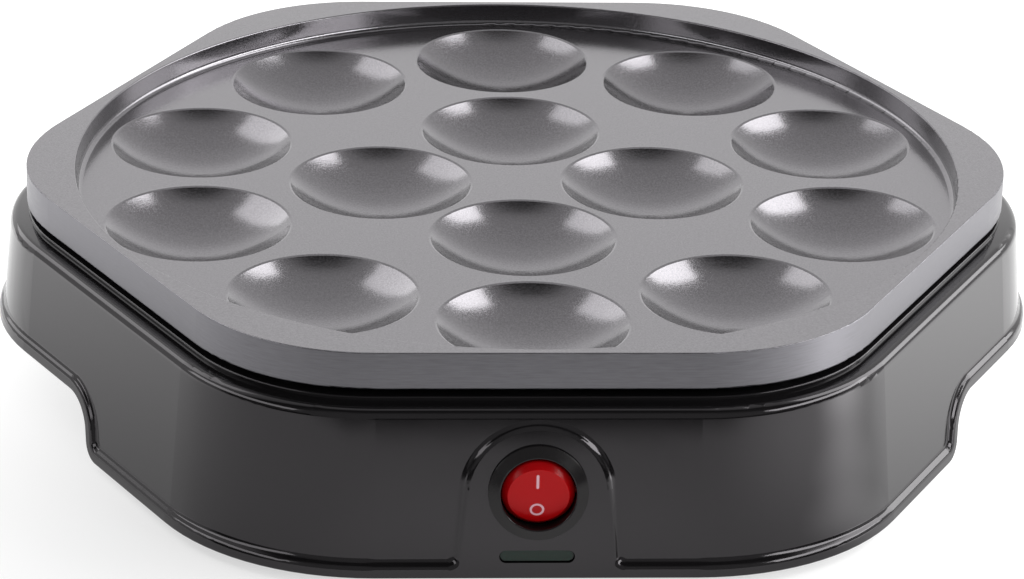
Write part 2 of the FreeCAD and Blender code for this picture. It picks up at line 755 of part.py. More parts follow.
def fuse_clip():
    """Spring strip: screwed flat to the hub at one end, looped under the fuse at the other."""
    inner = FUSE_RADIUS + 0.1
    outer = inner + CLIP_THICKNESS
    top = HUB_BOTTOM
    level = HUB_BOTTOM - FUSE_RADIUS
    loop = cylinder(outer, -CLIP_WIDTH / 2, CLIP_WIDTH / 2)
    loop = loop.cut(cylinder(inner, -CLIP_WIDTH, CLIP_WIDTH))
    loop.rotate(ORIGIN, Vector(0, 1, 0), 90)
    loop.translate(Vector(0, FUSE_OFFSET, level))
    half = CLIP_WIDTH / 2
    loop = loop.cut(box(-half - 1, half + 1, FUSE_OFFSET - outer - 1, FUSE_OFFSET + outer + 1,
                        level, top + outer))
    far_leg = box(-half, half, FUSE_OFFSET - outer, FUSE_OFFSET - inner, level, top - 0.3)
    near_leg = box(-half, half, FUSE_OFFSET + inner, FUSE_OFFSET + outer, level, top)
    flat = box(-half, half, FUSE_OFFSET + inner, CLIP_SCREW_OFFSET + half,
               top - CLIP_THICKNESS, top)
    clip = joined([loop, far_leg, near_leg, flat])
    hole = cylinder(M3_RADIUS + PASS_CLEARANCE, top - 3, top + 1, 0, CLIP_SCREW_OFFSET)
    return moved(clip.cut(hole), azimuth=HUB_AZIMUTH)


def wall_offset(level):
    """Offset of the shell's outer wall from the plate's side, at a level."""
    return WALL_TOP_OFFSET + (BASE_HEIGHT - level) * tangent(WALL_DRAFT)


def inner_offset(level):
    return wall_offset(level) - SHELL_WALL / cosine(WALL_DRAFT)


def bead_offset(level):
    """Offset of the bead's and the switch panel's face, at a level."""
    return BEAD_OFFSET - (level - STANDING_HEIGHT) * tangent(BEAD_DRAFT)


def step_corners(rise):
    """The two bends of the step beside a finger cut-out, raised square to itself."""
    slope = tangent(STEP_ANGLE)
    shift = rise * tangent(STEP_ANGLE / 2)
    lower = STEP_PLACE - STEP_RISE / 2 / slope - shift
    upper = STEP_PLACE + STEP_RISE / 2 / slope - shift
    return [
        (lower, STANDING_HEIGHT + rise, STEP_LOWER_RADIUS - rise),
        (upper, CUTOUT_HEIGHT + rise, STEP_UPPER_RADIUS + rise),
    ]


def shell_outside():
    """Drafted walls and rounded shoulder, filled, without the bead."""
    foot = STANDING_HEIGHT + BEAD_WIDTH / 2
    lip_foot = BASE_HEIGHT - LIP_HEIGHT
    drop = tangent(SHOULDER_SLOPE)
    draft = tangent(WALL_DRAFT)
    run = (wall_offset(lip_foot) + LIP_SETBACK) / (1 - drop * draft)
    shoulder = (plate_reach(run - LIP_SETBACK), lip_foot - run * drop, SHOULDER_RADIUS)
    walls = hexagon_solid([
        (plate_reach(wall_offset(foot)), foot),
        shoulder,
        (plate_reach(-LIP_SETBACK), lip_foot),
        (plate_reach(-LIP_SETBACK), BASE_HEIGHT, LIP_ROUND),
        (plate_reach(-LEDGE_OVERLAP), BASE_HEIGHT),
    ])
    half = SIDE_LENGTH / 2
    below = STANDING_HEIGHT - 5
    cutters = []
    for azimuth, mirrored in slanted_sides():
        region = [(-half, below), (half, below), (half, CUTOUT_HEIGHT + BEAD_WIDTH / 2)]
        region += list(reversed(step_corners(BEAD_WIDTH / 2)))
        region += [(-half, foot)]
        cutters.append(side_prism(region, azimuth, mirrored))
    for azimuth in (0, 180):
        cutters.append(corner_sector(azimuth, below, CUTOUT_HEIGHT + BEAD_WIDTH / 2))
    return walls.cut(cutters)


def apron_side(region, azimuth, mirrored=False):
    """Length of bead along one side, cut to its outline from a slab with the bead's face."""
    low = STANDING_HEIGHT - 1
    high = BASE_HEIGHT
    slab = outline([
        (SIDE_CENTRE + plate_reach(0), low),
        (SIDE_CENTRE + plate_reach(bead_offset(low)), low),
        (SIDE_CENTRE + plate_reach(bead_offset(high)), high),
        (SIDE_CENTRE + plate_reach(0), high),
    ])
    slab.translate(Vector(0, -SIDE_LENGTH / 2, 0))
    slab = slab.extrude(Vector(0, SIDE_LENGTH, 0))
    slab.rotate(ORIGIN, UP, azimuth)
    return slab.common(side_prism(region, azimuth, mirrored))


def apron_corner(azimuth, low):
    high = low + BEAD_WIDTH
    corner = outline([
        (plate_reach(0), low),
        (plate_reach(bead_offset(low)), low),
        (plate_reach(bead_offset(high)), high),
        (plate_reach(0), high),
    ])
    corner.rotate(ORIGIN, UP, -30)
    corner = corner.revolve(ORIGIN, UP, 60)
    return moved(moved(corner, x=CORNER_CENTRE), azimuth=azimuth)


def arch_outline():
    """Half of the switch panel's outline, from its foot to its top."""
    foot = STANDING_HEIGHT + BEAD_WIDTH
    top_half_width = ARCH_FOOT_HALF_WIDTH - (ARCH_TOP - foot) * tangent(ARCH_FLARE)
    top_radius = top_half_width / tangent((90 - ARCH_FLARE) / 2)
    return [
        (ARCH_FOOT_HALF_WIDTH, foot, ARCH_FOOT_RADIUS),
        (top_half_width, ARCH_TOP, top_radius),
    ]


def apron():
    """Bead and switch panel as one skin, with its edges rounded over."""
    half = SIDE_LENGTH / 2
    foot = STANDING_HEIGHT
    top = foot + BEAD_WIDTH
    arch = arch_outline()
    left_arch = [(-corner[0],) + tuple(corner[1:]) for corner in reversed(arch)]
    plain = [(-half, foot), (half, foot), (half, top)]
    pieces = [
        apron_side(plain + [(-half, top)], 90),
        apron_side(plain + arch + left_arch + [(-half, top)], 270),
    ]
    for azimuth, mirrored in slanted_sides():
        region = [(-half, foot)] + step_corners(0) + [(half, CUTOUT_HEIGHT)]
        region += [(half, CUTOUT_HEIGHT + BEAD_WIDTH)] + list(reversed(step_corners(BEAD_WIDTH)))
        region += [(-half, top)]
        pieces.append(apron_side(region, azimuth, mirrored))
    for index in range(6):
        cut_out = index % 3 == 0
        pieces.append(apron_corner(60 * index, CUTOUT_HEIGHT if cut_out else foot))
    skin = joined(pieces)
    upper, lower = apron_edges(skin)
    skin = skin.makeChamfer(BEAD_SLOPE, upper)
    upper, lower = apron_edges(skin)
    skin = skin.makeFillet(BEAD_ROUND, upper)
    upper, lower = apron_edges(skin)
    return skin.makeFillet(BEAD_FOOT_ROUND, lower)


def outward_offset(point):
    """Offset of a point from the plate's side, found from its bearing."""
    azimuth = math.degrees(math.atan2(point.y, point.x)) % 60
    sideways = abs(azimuth - 30)
    distance = math.hypot(point.x, point.y)
    if distance * sine(sideways) <= SIDE_LENGTH / 2:
        return distance * cosine(sideways) - PLATE_INRADIUS
    bend = polar(distance, 30 - sideways) - Vector(CORNER_CENTRE, 0, 0)
    return bend.Length - PLATE_CORNER_RADIUS


def is_apron_face(face):
    """Whether a face lies on the bead's drafted outside."""
    for vertex in face.Vertexes:
        point = vertex.Point
        if abs(outward_offset(point) - bead_offset(point.z)) > 0.01:
            return False
    return True


def apron_edges(skin):
    """Edges round the outside of the bead and panel: the upper outline and the lower one."""
    outside = [face for face in skin.Faces if is_apron_face(face)]
    others = [face for face in skin.Faces if not is_apron_face(face)]
    upper = []
    lower = []
    for edge in [edge for face in outside for edge in face.Edges]:
        for face in others:
            if not any(edge.isSame(border) for border in face.Edges):
                continue
            middle = edge.valueAt((edge.FirstParameter + edge.LastParameter) / 2)
            normal = face.normalAt(*face.Surface.parameter(middle))
            (lower if normal.z < -0.1 else upper).append(edge)
    return upper, lower


def is_wall_face(face):
    """Whether a face lies on the drafted outside of the shell's wall."""
    for vertex in face.Vertexes:
        point = vertex.Point
        if abs(outward_offset(point) - wall_offset(point.z)) > 0.01:
            return False
    return True


def bead_creases(shell):
    """Edges where the wall meets the slope of the bead and of the switch panel."""
    slopes = [face for face in shell.Faces if not is_wall_face(face)]
    creases = []
    for face in shell.Faces:
        if not is_wall_face(face):
            continue
        for edge in face.Edges:
            middle = edge.valueAt((edge.FirstParameter + edge.LastParameter) / 2)
            bordered = any(edge.isSame(border) for slope in slopes for border in slope.Edges)
            if bordered and middle.z < ARCH_TOP:
                creases.append(edge)
    return creases


def panel_y():
    """The switch panel's face at the height of the switch."""
    return -(PLATE_INRADIUS + bead_offset(SWITCH_HEIGHT))


def on_panel(shape, x=0.0, up=0.0):
    """Shape from the panel's frame (z out of the panel) to its place at the front."""
    result = shape.copy()
    result.translate(Vector(x, up, 0))
    spin = Rotation(Vector(1, 0, 0), 90 - BEAD_DRAFT)
    result.Placement = Placement(Vector(0, panel_y(), SWITCH_HEIGHT), spin).multiply(result.Placement)
    return result


def indicator_up():
    """Place of the indicator up the panel, counted from the switch."""
    return (INDICATOR_HEIGHT - SWITCH_HEIGHT) / cosine(BEAD_DRAFT)


def stadium(length, width, low, high):
    """Bar with round ends along x, between two levels."""
    radius = width / 2
    reach = length / 2 - radius
    middle = box(-reach, reach, -radius, radius, low, high)
    return joined([middle, cylinder(radius, low, high, -reach), cylinder(radius, low, high, reach)])


def stake_places():
    return [(x, indicator_up() + SLOT_WIDTH / 2 + 2 * STAKE_RADIUS) for x in (-9.6, 9.6)]


def holder_half_width():
    return SLOT_LENGTH / 2 + LENS_EAR + 1.4


def lens_seat():
    """Flat seat cut in the back of the panel for the lens and the lamp holder."""
    low = indicator_up() - SLOT_WIDTH / 2 - 0.5
    high = indicator_up() + SLOT_WIDTH / 2 + 5
    half = holder_half_width() + 0.6
    return on_panel(box(-half, half, low, high, -LENS_SEAT_DEPTH - 3, -LENS_SEAT_DEPTH))


def pillar_places():
    inset = PLATE_INRADIUS + inner_offset(COVER_TOP) - COVER_SCREW_INSET
    return [Vector(x, y, 0) for x in (-COVER_SCREW_X, COVER_SCREW_X) for y in (-inset, inset)]


def plate_lug():
    """Lug for one plate screw, reaching in from a corner of the shell, at bearing 0."""
    low = LUG_TOP - LUG_THICKNESS
    half = LUG_HALF_WIDTH
    wall = CORNER_CENTRE + plate_reach(inner_offset(low)) + SHELL_WALL / 3
    lug = [
        box(PLATE_SCREW_RADIUS, wall, -half, half, low, LUG_TOP),
        cylinder(half, low, LUG_TOP, PLATE_SCREW_RADIUS),
    ]
    gusset_foot = CORNER_CENTRE + plate_reach(inner_offset(low)) + SHELL_WALL / 3
    for y in (-half, half - 1.8):
        rib = outline([
            (PLATE_SCREW_RADIUS + M4_HEAD_RADIUS + 1, low + 0.5),
            (gusset_foot - 0.5, low - 9),
            (gusset_foot, low - 9),
            (gusset_foot, low + 0.5),
        ])
        rib.translate(Vector(0, y, 0))
        lug.append(rib.extrude(Vector(0, 1.8, 0)))
    return joined(lug)


def shell_pillar(place):
    """Post for one cover screw, webbed to the nearest wall."""
    side = 1 if place.y > 0 else -1
    wall = PLATE_INRADIUS + inner_offset(COVER_TOP)
    post = cylinder(PILLAR_RADIUS, COVER_TOP, LEDGE_BOTTOM + LEDGE_THICKNESS / 3, place.x, place.y)
    top_wall = PLATE_INRADIUS + inner_offset(LEDGE_BOTTOM) - SHELL_WALL / 2
    web = outline([
        (abs(place.y), COVER_TOP + 2),
        (wall, COVER_TOP + 2),
        (top_wall, LEDGE_BOTTOM + LEDGE_THICKNESS / 3),
        (abs(place.y), LEDGE_BOTTOM + LEDGE_THICKNESS / 3),
    ])
    web.translate(Vector(0, -1, 0))
    web = web.extrude(Vector(0, 2, 0))
    web.rotate(ORIGIN, UP, 90 * side)
    web.translate(Vector(place.x, 0, 0))
    return joined([post, web])


def clamp_y():
    """Middle of the cord clamp, from the middle of the appliance."""
    return PLATE_INRADIUS + inner_offset(CORD_OUTLET_HEIGHT) - CLAMP_SETBACK + CLAMP_LENGTH / 2


def shelf_bottom():
    return CORD_OUTLET_HEIGHT + CORD_BORE_RADIUS + 0.1


def along_y(shape, y, z, x=0.0):
    """Shape turned so that its Z axis points to +Y, then carried to a place."""
    result = shape.copy()
    result.rotate(ORIGIN, Vector(1, 0, 0), -90)
    result.translate(Vector(x, y, z))
    return result


def collar_faces():
    """Inner and outer face of the cord outlet's collar."""
    outer = PLATE_INRADIUS + OUTLET_COLLAR_OFFSET
    inner = PLATE_INRADIUS + inner_offset(CORD_OUTLET_HEIGHT) - 1.8
    return inner, outer


def base_shell():
    shell = joined([shell_outside(), apron()])
    shell = shell.makeFillet(BEAD_ROUND, bead_creases(shell))
    foot = -1.0
    cavity = hexagon_solid([
        (plate_reach(inner_offset(foot)), foot),
        (plate_reach(inner_offset(LEDGE_BOTTOM)), LEDGE_BOTTOM, SHELL_WALL / 2),
        (plate_reach(-LEDGE_OVERLAP), LEDGE_BOTTOM),
    ])
    opening = hexagon_solid([
        (plate_reach(-LEDGE_OVERLAP), LEDGE_BOTTOM - 1),
        (plate_reach(-LEDGE_OVERLAP), BASE_HEIGHT + 1),
    ])
    shell = shell.cut(cavity).cut(opening)

    added = [moved(plate_lug(), azimuth=60 * index) for index in range(6)]
    added += [shell_pillar(place) for place in pillar_places()]
    inner, outer = collar_faces()
    added.append(along_y(cylinder(OUTLET_COLLAR_RADIUS, inner, outer), 0, CORD_OUTLET_HEIGHT))
    wall = PLATE_INRADIUS + inner_offset(shelf_bottom() + SHELF_THICKNESS) + SHELL_WALL / 3
    shelf_low = shelf_bottom()
    shelf = box(-CLAMP_HALF_WIDTH, CLAMP_HALF_WIDTH, clamp_y() - CLAMP_LENGTH / 2, wall,
                shelf_low, shelf_low + SHELF_THICKNESS)
    snap_room = cylinder(BUSH_SNAP_RADIUS + 0.8, inner - BUSH_SNAP_THICKNESS - 1, inner)
    added.append(shelf.cut(along_y(snap_room, 0, CORD_OUTLET_HEIGHT)))
    for x, up in stake_places():
        stake = cylinder(STAKE_RADIUS, -LENS_SEAT_DEPTH - LENS_EAR_THICKNESS - HOLDER_THICKNESS - 1,
                         -LENS_SEAT_DEPTH + 1)
        added.append(on_panel(stake, x, up))
    pocket = cylinder(SWITCH_POCKET_RADIUS, -SWITCH_PANEL - 8, -SWITCH_PANEL)
    shell = shell.cut([on_panel(pocket), lens_seat()])
    shell = joined([shell] + added)

    holes = [
        on_panel(cylinder(BARREL_RADIUS + BARREL_CLEARANCE, -SWITCH_PANEL - 1, 2)),
        on_panel(stadium(SLOT_LENGTH, SLOT_WIDTH, -LENS_SEAT_DEPTH - 1, 2), 0, indicator_up()),
        along_y(cylinder(BUSH_RADIUS + 0.1, inner - 1, outer + 1), 0, CORD_OUTLET_HEIGHT),
    ]
    for place in plate_screw_places():
        holes.append(cylinder(M4_RADIUS + PASS_CLEARANCE, LUG_TOP - LUG_THICKNESS - 1, LUG_TOP + 1,
                              place.x, place.y))
    for place in pillar_places():
        holes.append(cylinder(M3_RADIUS, COVER_TOP - 1, COVER_TOP + COVER_SCREW_GRIP + 2,
                              place.x, place.y))
    for x in (-CLAMP_SCREW_X, CLAMP_SCREW_X):
        holes.append(cylinder(M3_RADIUS, shelf_low - 1, shelf_low + SHELF_THICKNESS - 0.6, x, clamp_y()))
    return shell.cut(holes)


def plate_screws():
    seat = LUG_TOP - LUG_THICKNESS
    shank = m4_screw(BOSS_BOTTOM + BOSS_LENGTH - seat)
    return group(moved(shank, place.x, place.y, seat) for place in plate_screw_places())


def plate_washers():
    """Insulating washers between the plate's bosses and the shell's lugs."""
    washer = cylinder(WASHER_RADIUS, LUG_TOP, BOSS_BOTTOM)
    washer = washer.cut(cylinder(M4_RADIUS + PASS_CLEARANCE, LUG_TOP - 1, BOSS_BOTTOM + 1))
    return group(moved(washer, place.x, place.y) for place in plate_screw_places())


def cover_section(rise):
    """One face of the stepped cover, from the left finger cut-out to the right one."""
    far = CORNER_CENTRE + plate_reach(BEAD_OFFSET)
    middle = (PLATE_INRADIUS + inner_offset(CUTOUT_HEIGHT / 2)) * cosine(30) + STEP_PLACE / 2
    half_run = STEP_RISE / tangent(STEP_ANGLE) / 4
    angle = math.degrees(math.atan2(STEP_RISE, 2 * half_run))
    shift = rise * tangent(angle / 2)
    lower = middle - COVER_STEP_SETBACK - half_run - shift
    upper = middle - COVER_STEP_SETBACK + half_run - shift
    low = COVER_BOTTOM + rise
    high = CUTOUT_HEIGHT + COVER_RECESS + rise
    right = [
        (lower, low, COVER_STEP_LOWER_RADIUS - rise),
        (upper, high, COVER_STEP_UPPER_RADIUS + rise),
        (far, high),
    ]
    left = [(-corner[0],) + tuple(corner[1:]) for corner in reversed(right)]
    return left + right


def cover_screw_depth():
    return COVER_THICKNESS / 2


def bottom_cover():
    sheet = outline(cover_section(0) + list(reversed(cover_section(COVER_THICKNESS))))
    depth = PLATE_INRADIUS + BEAD_OFFSET
    sheet.translate(Vector(0, -depth, 0))
    sheet = sheet.extrude(Vector(0, 2 * depth, 0))
    top = CUTOUT_HEIGHT + COVER_RECESS + 2 * COVER_THICKNESS
    inside = hexagon_solid([
        (plate_reach(inner_offset(0) - COVER_CLEARANCE), 0),
        (plate_reach(inner_offset(top) - COVER_CLEARANCE), top),
    ])
    cover = sheet.common(inside)

    added = [cylinder(4.5, COVER_BOTTOM + 0.5, COVER_TOP + BLOCK_STAND, BLOCK_X, BLOCK_Y)]
    for y in (-30.0, 0.0, 30.0):
        added.append(box(-75, 75, y - 0.9, y + 0.9, COVER_TOP - 0.5, COVER_TOP + 2.5))
    cover = joined([cover] + added)

    holes = [cylinder(M3_RADIUS, COVER_BOTTOM + 1, COVER_TOP + BLOCK_STAND + 1, BLOCK_X, BLOCK_Y)]
    for side in (-1, 1):
        for index in range(VENT_COUNT):
            along = (index - (VENT_COUNT - 1) / 2) * VENT_PITCH
            slot = stadium(VENT_LENGTH, VENT_WIDTH, COVER_BOTTOM - 1, COVER_TOP + 4)
            holes.append(moved(slot, side * VENT_OFFSET, along))
    for place in pillar_places():
        holes.append(cylinder(M3_RADIUS + PASS_CLEARANCE, COVER_BOTTOM - 1, COVER_TOP + 1,
                              place.x, place.y))
        holes.append(cylinder(M3_HEAD_RADIUS + 0.4, COVER_BOTTOM - 1,
                              COVER_BOTTOM + cover_screw_depth(), place.x, place.y))
    for place in foot_places():
        holes.append(cylinder(FOOT_STEM_RADIUS + 0.1, COVER_BOTTOM - 1, COVER_TOP + 1,
                              place.x, place.y))
    return cover.cut(holes)


def cover_screws():
    seat = COVER_BOTTOM + cover_screw_depth()
    shank = m3_screw(COVER_TOP + COVER_SCREW_GRIP - seat)
    return group(moved(shank, place.x, place.y, seat) for place in pillar_places())


def foot_places():
    return [Vector(x, y, 0) for x in (-FOOT_X, FOOT_X) for y in (-FOOT_Y, FOOT_Y)]


def rubber_feet():
    """Push-in feet: a domed pad, a stem through the cover and a barb above it."""
    barb = FOOT_STEM_RADIUS + FOOT_BARB
    foot = turned([
        (0, 0),
        (FOOT_RADIUS - 1.0, 0, 0.6),
        (FOOT_RADIUS, COVER_BOTTOM * 0.7, 0.8),
        (FOOT_RADIUS, COVER_BOTTOM),
        (FOOT_STEM_RADIUS, COVER_BOTTOM),
        (FOOT_STEM_RADIUS, COVER_TOP + 0.1),
        (barb, COVER_TOP + 0.1),
        (FOOT_STEM_RADIUS * 0.7, COVER_TOP + 3),
        (0, COVER_TOP + 3),
    ])
    return group(moved(foot, place.x, place.y) for place in foot_places())


def switch_housing():
    """Round housing: bezel, barrel with two snap wings, floor slotted for the terminals."""
    opening = ROCKER_RADIUS + ROCKER_CLEARANCE
    mouth = ROCKER_RADIUS + BEZEL_MOUTH_CLEARANCE
    depth = BARREL_DEPTH
    body = turned([
        (0, -depth),
        (BARREL_RADIUS, -depth, 0.5),
        (BARREL_RADIUS, 0),
        (BEZEL_RADIUS, 0),
        (BEZEL_RADIUS, BEZEL_RIM_HEIGHT, BEZEL_ROUND / 2),
        (mouth, BEZEL_PROUD, BEZEL_ROUND),
        (mouth, 0),
        (opening, -BEZEL_ROUND),
        (opening, -depth + BARREL_FLOOR),
        (0, -depth + BARREL_FLOOR),
    ])
    wings = []
    for side in (-1, 1):
        wedge = outline([
            (side * (BARREL_RADIUS - 0.4), -SWITCH_PANEL - 4.5),
            (side * BARREL_RADIUS, -SWITCH_PANEL - 4.5),
            (side * (BARREL_RADIUS + WING_REACH), -SWITCH_PANEL - 0.1),
            (side * (BARREL_RADIUS - 0.4), -SWITCH_PANEL - 0.1),
        ])
        wedge.translate(Vector(0, -WING_WIDTH / 2, 0))
        wings.append(wedge.extrude(Vector(0, WING_WIDTH, 0)))
    body = joined([body] + wings)
    pivots = cylinder(TRUNNION_RADIUS + RUNNING_CLEARANCE, -BARREL_RADIUS - 2, BARREL_RADIUS + 2)
    pivots.rotate(ORIGIN, Vector(0, 1, 0), 90)
    pivots.translate(Vector(0, 0, -PIVOT_DEPTH))
    slots = [spade_slot(up) for up in (0.0, LOAD_CONTACT_UP)]
    return on_panel(body.cut([pivots] + slots))


def spade_slot(up):
    half = SPADE_WIDTH / 2 + THREAD_CLEARANCE
    thick = SPADE_THICKNESS / 2 + THREAD_CLEARANCE
    return box(-half, half, up - thick, up + thick, -BARREL_DEPTH - 1, -BARREL_DEPTH + BARREL_FLOOR + 1)


def tilted(shape, angle, depth):
    """Shape in the panel's frame, turned about the x axis at a depth behind the panel."""
    result = shape.copy()
    result.rotate(Vector(0, 0, -depth), Vector(1, 0, 0), angle)
    return result


def switch_rocker():
    """Rocker at rest with its lower half pressed: a round button with a shallow ridge."""
    ridge = ROCKER_PROUD
    edge = ridge - ROCKER_RADIUS * tangent(ROCKER_RIDGE)
    low = -ROCKER_SKIRT
    disc = cylinder(ROCKER_RADIUS, low, ridge + 1)
    roof = outline([
        (-ROCKER_RADIUS - 1, low - 1),
        (ROCKER_RADIUS + 1, low - 1),
        (ROCKER_RADIUS + 1, edge - tangent(ROCKER_RIDGE)),
        (0, ridge, 12.0),
        (-ROCKER_RADIUS - 1, edge - tangent(ROCKER_RIDGE)),
    ])
    roof.translate(Vector(0, -ROCKER_RADIUS - 1, 0))
    roof = roof.extrude(Vector(0, 2 * ROCKER_RADIUS + 2, 0))
    roof.rotate(ORIGIN, UP, 90)
    button = disc.common(roof)
    brim = [edge for edge in button.Edges if edge.BoundBox.ZMin > low + 1 and is_on_drum(edge)]
    button = button.makeChamfer(ROCKER_EDGE_SLOPE, brim)
    brim = [edge for edge in button.Edges if edge.BoundBox.ZMin > low + 1 and is_on_drum(edge)]
    button = button.makeFillet(ROCKER_EDGE_ROUND, brim)
    hollow = turned([
        (0, low - 1),
        (ROCKER_RADIUS - 1.3, low - 1),
        (ROCKER_RADIUS - 1.3, -1.4, 1.0),
        (0, -1.4),
    ])
    button = button.cut(hollow)
    guide = cylinder(PLUNGER_RADIUS + 1.0, -PIVOT_DEPTH - 1.7, -0.8)
    shaft = cylinder(TRUNNION_RADIUS, -BARREL_RADIUS + 0.3, BARREL_RADIUS - 0.3)
    shaft.rotate(ORIGIN, Vector(0, 1, 0), 90)
    shaft.translate(Vector(0, 0, -PIVOT_DEPTH))
    button = joined([button, guide, shaft])
    bore = cylinder(PLUNGER_RADIUS + RUNNING_CLEARANCE, -PIVOT_DEPTH - 3, -1.4)
    return on_panel(tilted(button.cut(bore), ROCKER_REST_TILT, PIVOT_DEPTH))


def is_on_drum(edge):
    """Whether an edge runs round the rocker's drum."""
    for vertex in edge.Vertexes:
        if abs(math.hypot(vertex.X, vertex.Y) - ROCKER_RADIUS) > 0.01:
            return False
    return len(edge.Vertexes) > 0


def switch_plunger():
    """Plunger in the rocker's guide, pressing on the seesaw."""
    tip = -PIVOT_DEPTH - PLUNGER_REACH
    plunger = turned([
        (0, tip),
        (PLUNGER_RADIUS, tip, PLUNGER_RADIUS * 0.7),
        (PLUNGER_RADIUS, tip + 3.4),
        (0, tip + 3.4),
    ])
    return on_panel(tilted(plunger, ROCKER_REST_TILT, PIVOT_DEPTH))


def switch_spring():
    """Compression spring between the plunger and the end of its guide."""
    low = -PIVOT_DEPTH - PLUNGER_REACH + 3.4 + SPRING_WIRE / 2 + 0.05
    high = -1.4 - SPRING_WIRE / 2 - 0.05
    radius = SPRING_RADIUS - SPRING_WIRE / 2
    turns = 4
    helix = Part.makeHelix((high - low) / turns, high - low, radius)
    section = Part.Wire(Part.makeCircle(SPRING_WIRE / 2, Vector(radius, 0, 0), Vector(0, 1, 0)))
    coil = Part.Wire(helix.Edges).makePipeShell([section], True, True)
    coil.translate(Vector(0, 0, low))
    return on_panel(tilted(coil, ROCKER_REST_TILT, PIVOT_DEPTH))


def contact_blade():
    """Seesaw of copper strip with a silver contact at its lower end."""
    half = BLADE_LENGTH / 2
    low = -BLADE_DEPTH - BLADE_THICKNESS
    strip = box(-BLADE_WIDTH / 2, BLADE_WIDTH / 2, -half, half, low, -BLADE_DEPTH)
    button = cylinder(CONTACT_RADIUS, low - CONTACT_HEIGHT, low, 0, LOAD_CONTACT_UP)
    knife = cylinder(0.5, -BLADE_WIDTH / 2, BLADE_WIDTH / 2)
    knife.rotate(ORIGIN, Vector(0, 1, 0), 90)
    knife.translate(Vector(0, 0, low))
    blade = joined([strip, button, knife])
    return on_panel(tilted(blade, -BLADE_REST_TILT, BLADE_AXIS_DEPTH))


def spade(up):
    half = SPADE_WIDTH / 2
    thick = SPADE_THICKNESS / 2
    return box(-half, half, up - thick, up + thick, -BARREL_DEPTH - SPADE_LENGTH,
               -BARREL_DEPTH + BARREL_FLOOR)


def switch_common_terminal():
    """Spade with the cradle that the seesaw rocks on."""
    top = -BLADE_AXIS_DEPTH - CRADLE_GAP
    half = BLADE_WIDTH / 2
    cradle = box(-half, half, -1.2, 1.2, -BARREL_DEPTH + BARREL_FLOOR, top)
    seat = cylinder(0.5 + RUNNING_CLEARANCE, -half - 1, half + 1)
    seat.rotate(ORIGIN, Vector(0, 1, 0), 90)
    seat.translate(Vector(0, 0, -BLADE_AXIS_DEPTH))
    return on_panel(joined([spade(0.0), cradle]).cut(seat))


def switch_load_terminal():
    """Spade with the fixed contact under the seesaw's lower end."""
    floor = -BARREL_DEPTH + BARREL_FLOOR
    pad = cylinder(CONTACT_RADIUS, floor, floor + CONTACT_PAD_HEIGHT, 0, LOAD_CONTACT_UP)
    return on_panel(joined([spade(LOAD_CONTACT_UP), pad]))


def indicator_lens():
    """Light guide: a tongue in the slot with an ear at each end behind the panel."""
    tongue = stadium(SLOT_LENGTH - 2 * LENS_CLEARANCE, SLOT_WIDTH - 2 * LENS_CLEARANCE,
                     -LENS_SEAT_DEPTH - 0.1, -LENS_RECESS)
    ears = stadium(SLOT_LENGTH + 2 * LENS_EAR, SLOT_WIDTH - 2 * LENS_CLEARANCE,
                   -LENS_SEAT_DEPTH - LENS_EAR_THICKNESS, -LENS_SEAT_DEPTH)
    return on_panel(joined([tongue, ears]), 0, indicator_up())


def lamp_holder():
    """Holder staked behind the lens, with a short tube for the lamp."""
    back = -LENS_SEAT_DEPTH - LENS_EAR_THICKNESS - HOLDER_THICKNESS
    front = back + HOLDER_THICKNESS
    half = holder_half_width()
    low = indicator_up() - SLOT_WIDTH / 2 + LAMP_TUBE_WALL
    high = stake_places()[0][1] + STAKE_RADIUS + LAMP_TUBE_WALL
    lamp_up = indicator_up() + LAMP_RISE
    plate = box(-half, half, low, high, back, front)
    tube = cylinder(LAMP_RADIUS + LAMP_TUBE_WALL, back - LAMP_TUBE_LENGTH, back, 0, lamp_up)
    holder = joined([plate, tube])
    holes = [cylinder(LAMP_RADIUS + 0.1, back - LAMP_TUBE_LENGTH - 1, front + 1, 0, lamp_up)]
    for x, up in stake_places():
        holes.append(cylinder(STAKE_RADIUS + 0.08, back - 1, front + 1, x, up))
    return on_panel(holder.cut(holes))


def indicator_lamp():
    back = -LENS_SEAT_DEPTH - LENS_EAR_THICKNESS - LAMP_LENGTH - 0.3
    lamp = turned([
        (0, back),
        (LAMP_RADIUS, back),
        (LAMP_RADIUS, back + LAMP_LENGTH, LAMP_RADIUS * 0.9),
        (0, back + LAMP_LENGTH),
    ])
    wires = [cylinder(0.25, back - 5, back, x) for x in (-0.7, 0.7)]
    return on_panel(joined([lamp] + wires), 0, indicator_up() + LAMP_RISE)


def cord_bush():
    """Moulded outlet bush, pushed through the collar from outside and snapped behind it."""
    inner, outer = collar_faces()
    bush = turned([
        (CORD_BORE_RADIUS, inner - BUSH_SNAP_THICKNESS),
        (BUSH_RADIUS, inner - BUSH_SNAP_THICKNESS),
        (BUSH_SNAP_RADIUS, inner - 0.1),
        (BUSH_RADIUS, inner - 0.1),
        (BUSH_RADIUS, outer),
        (BUSH_FLANGE_RADIUS, outer),
        (BUSH_FLANGE_RADIUS, outer + BUSH_FLANGE_THICKNESS, 0.8),
        (CORD_BORE_RADIUS, outer + BUSH_FLANGE_THICKNESS, BUSH_MOUTH_ROUND),
    ])
    return along_y(bush, 0, CORD_OUTLET_HEIGHT)


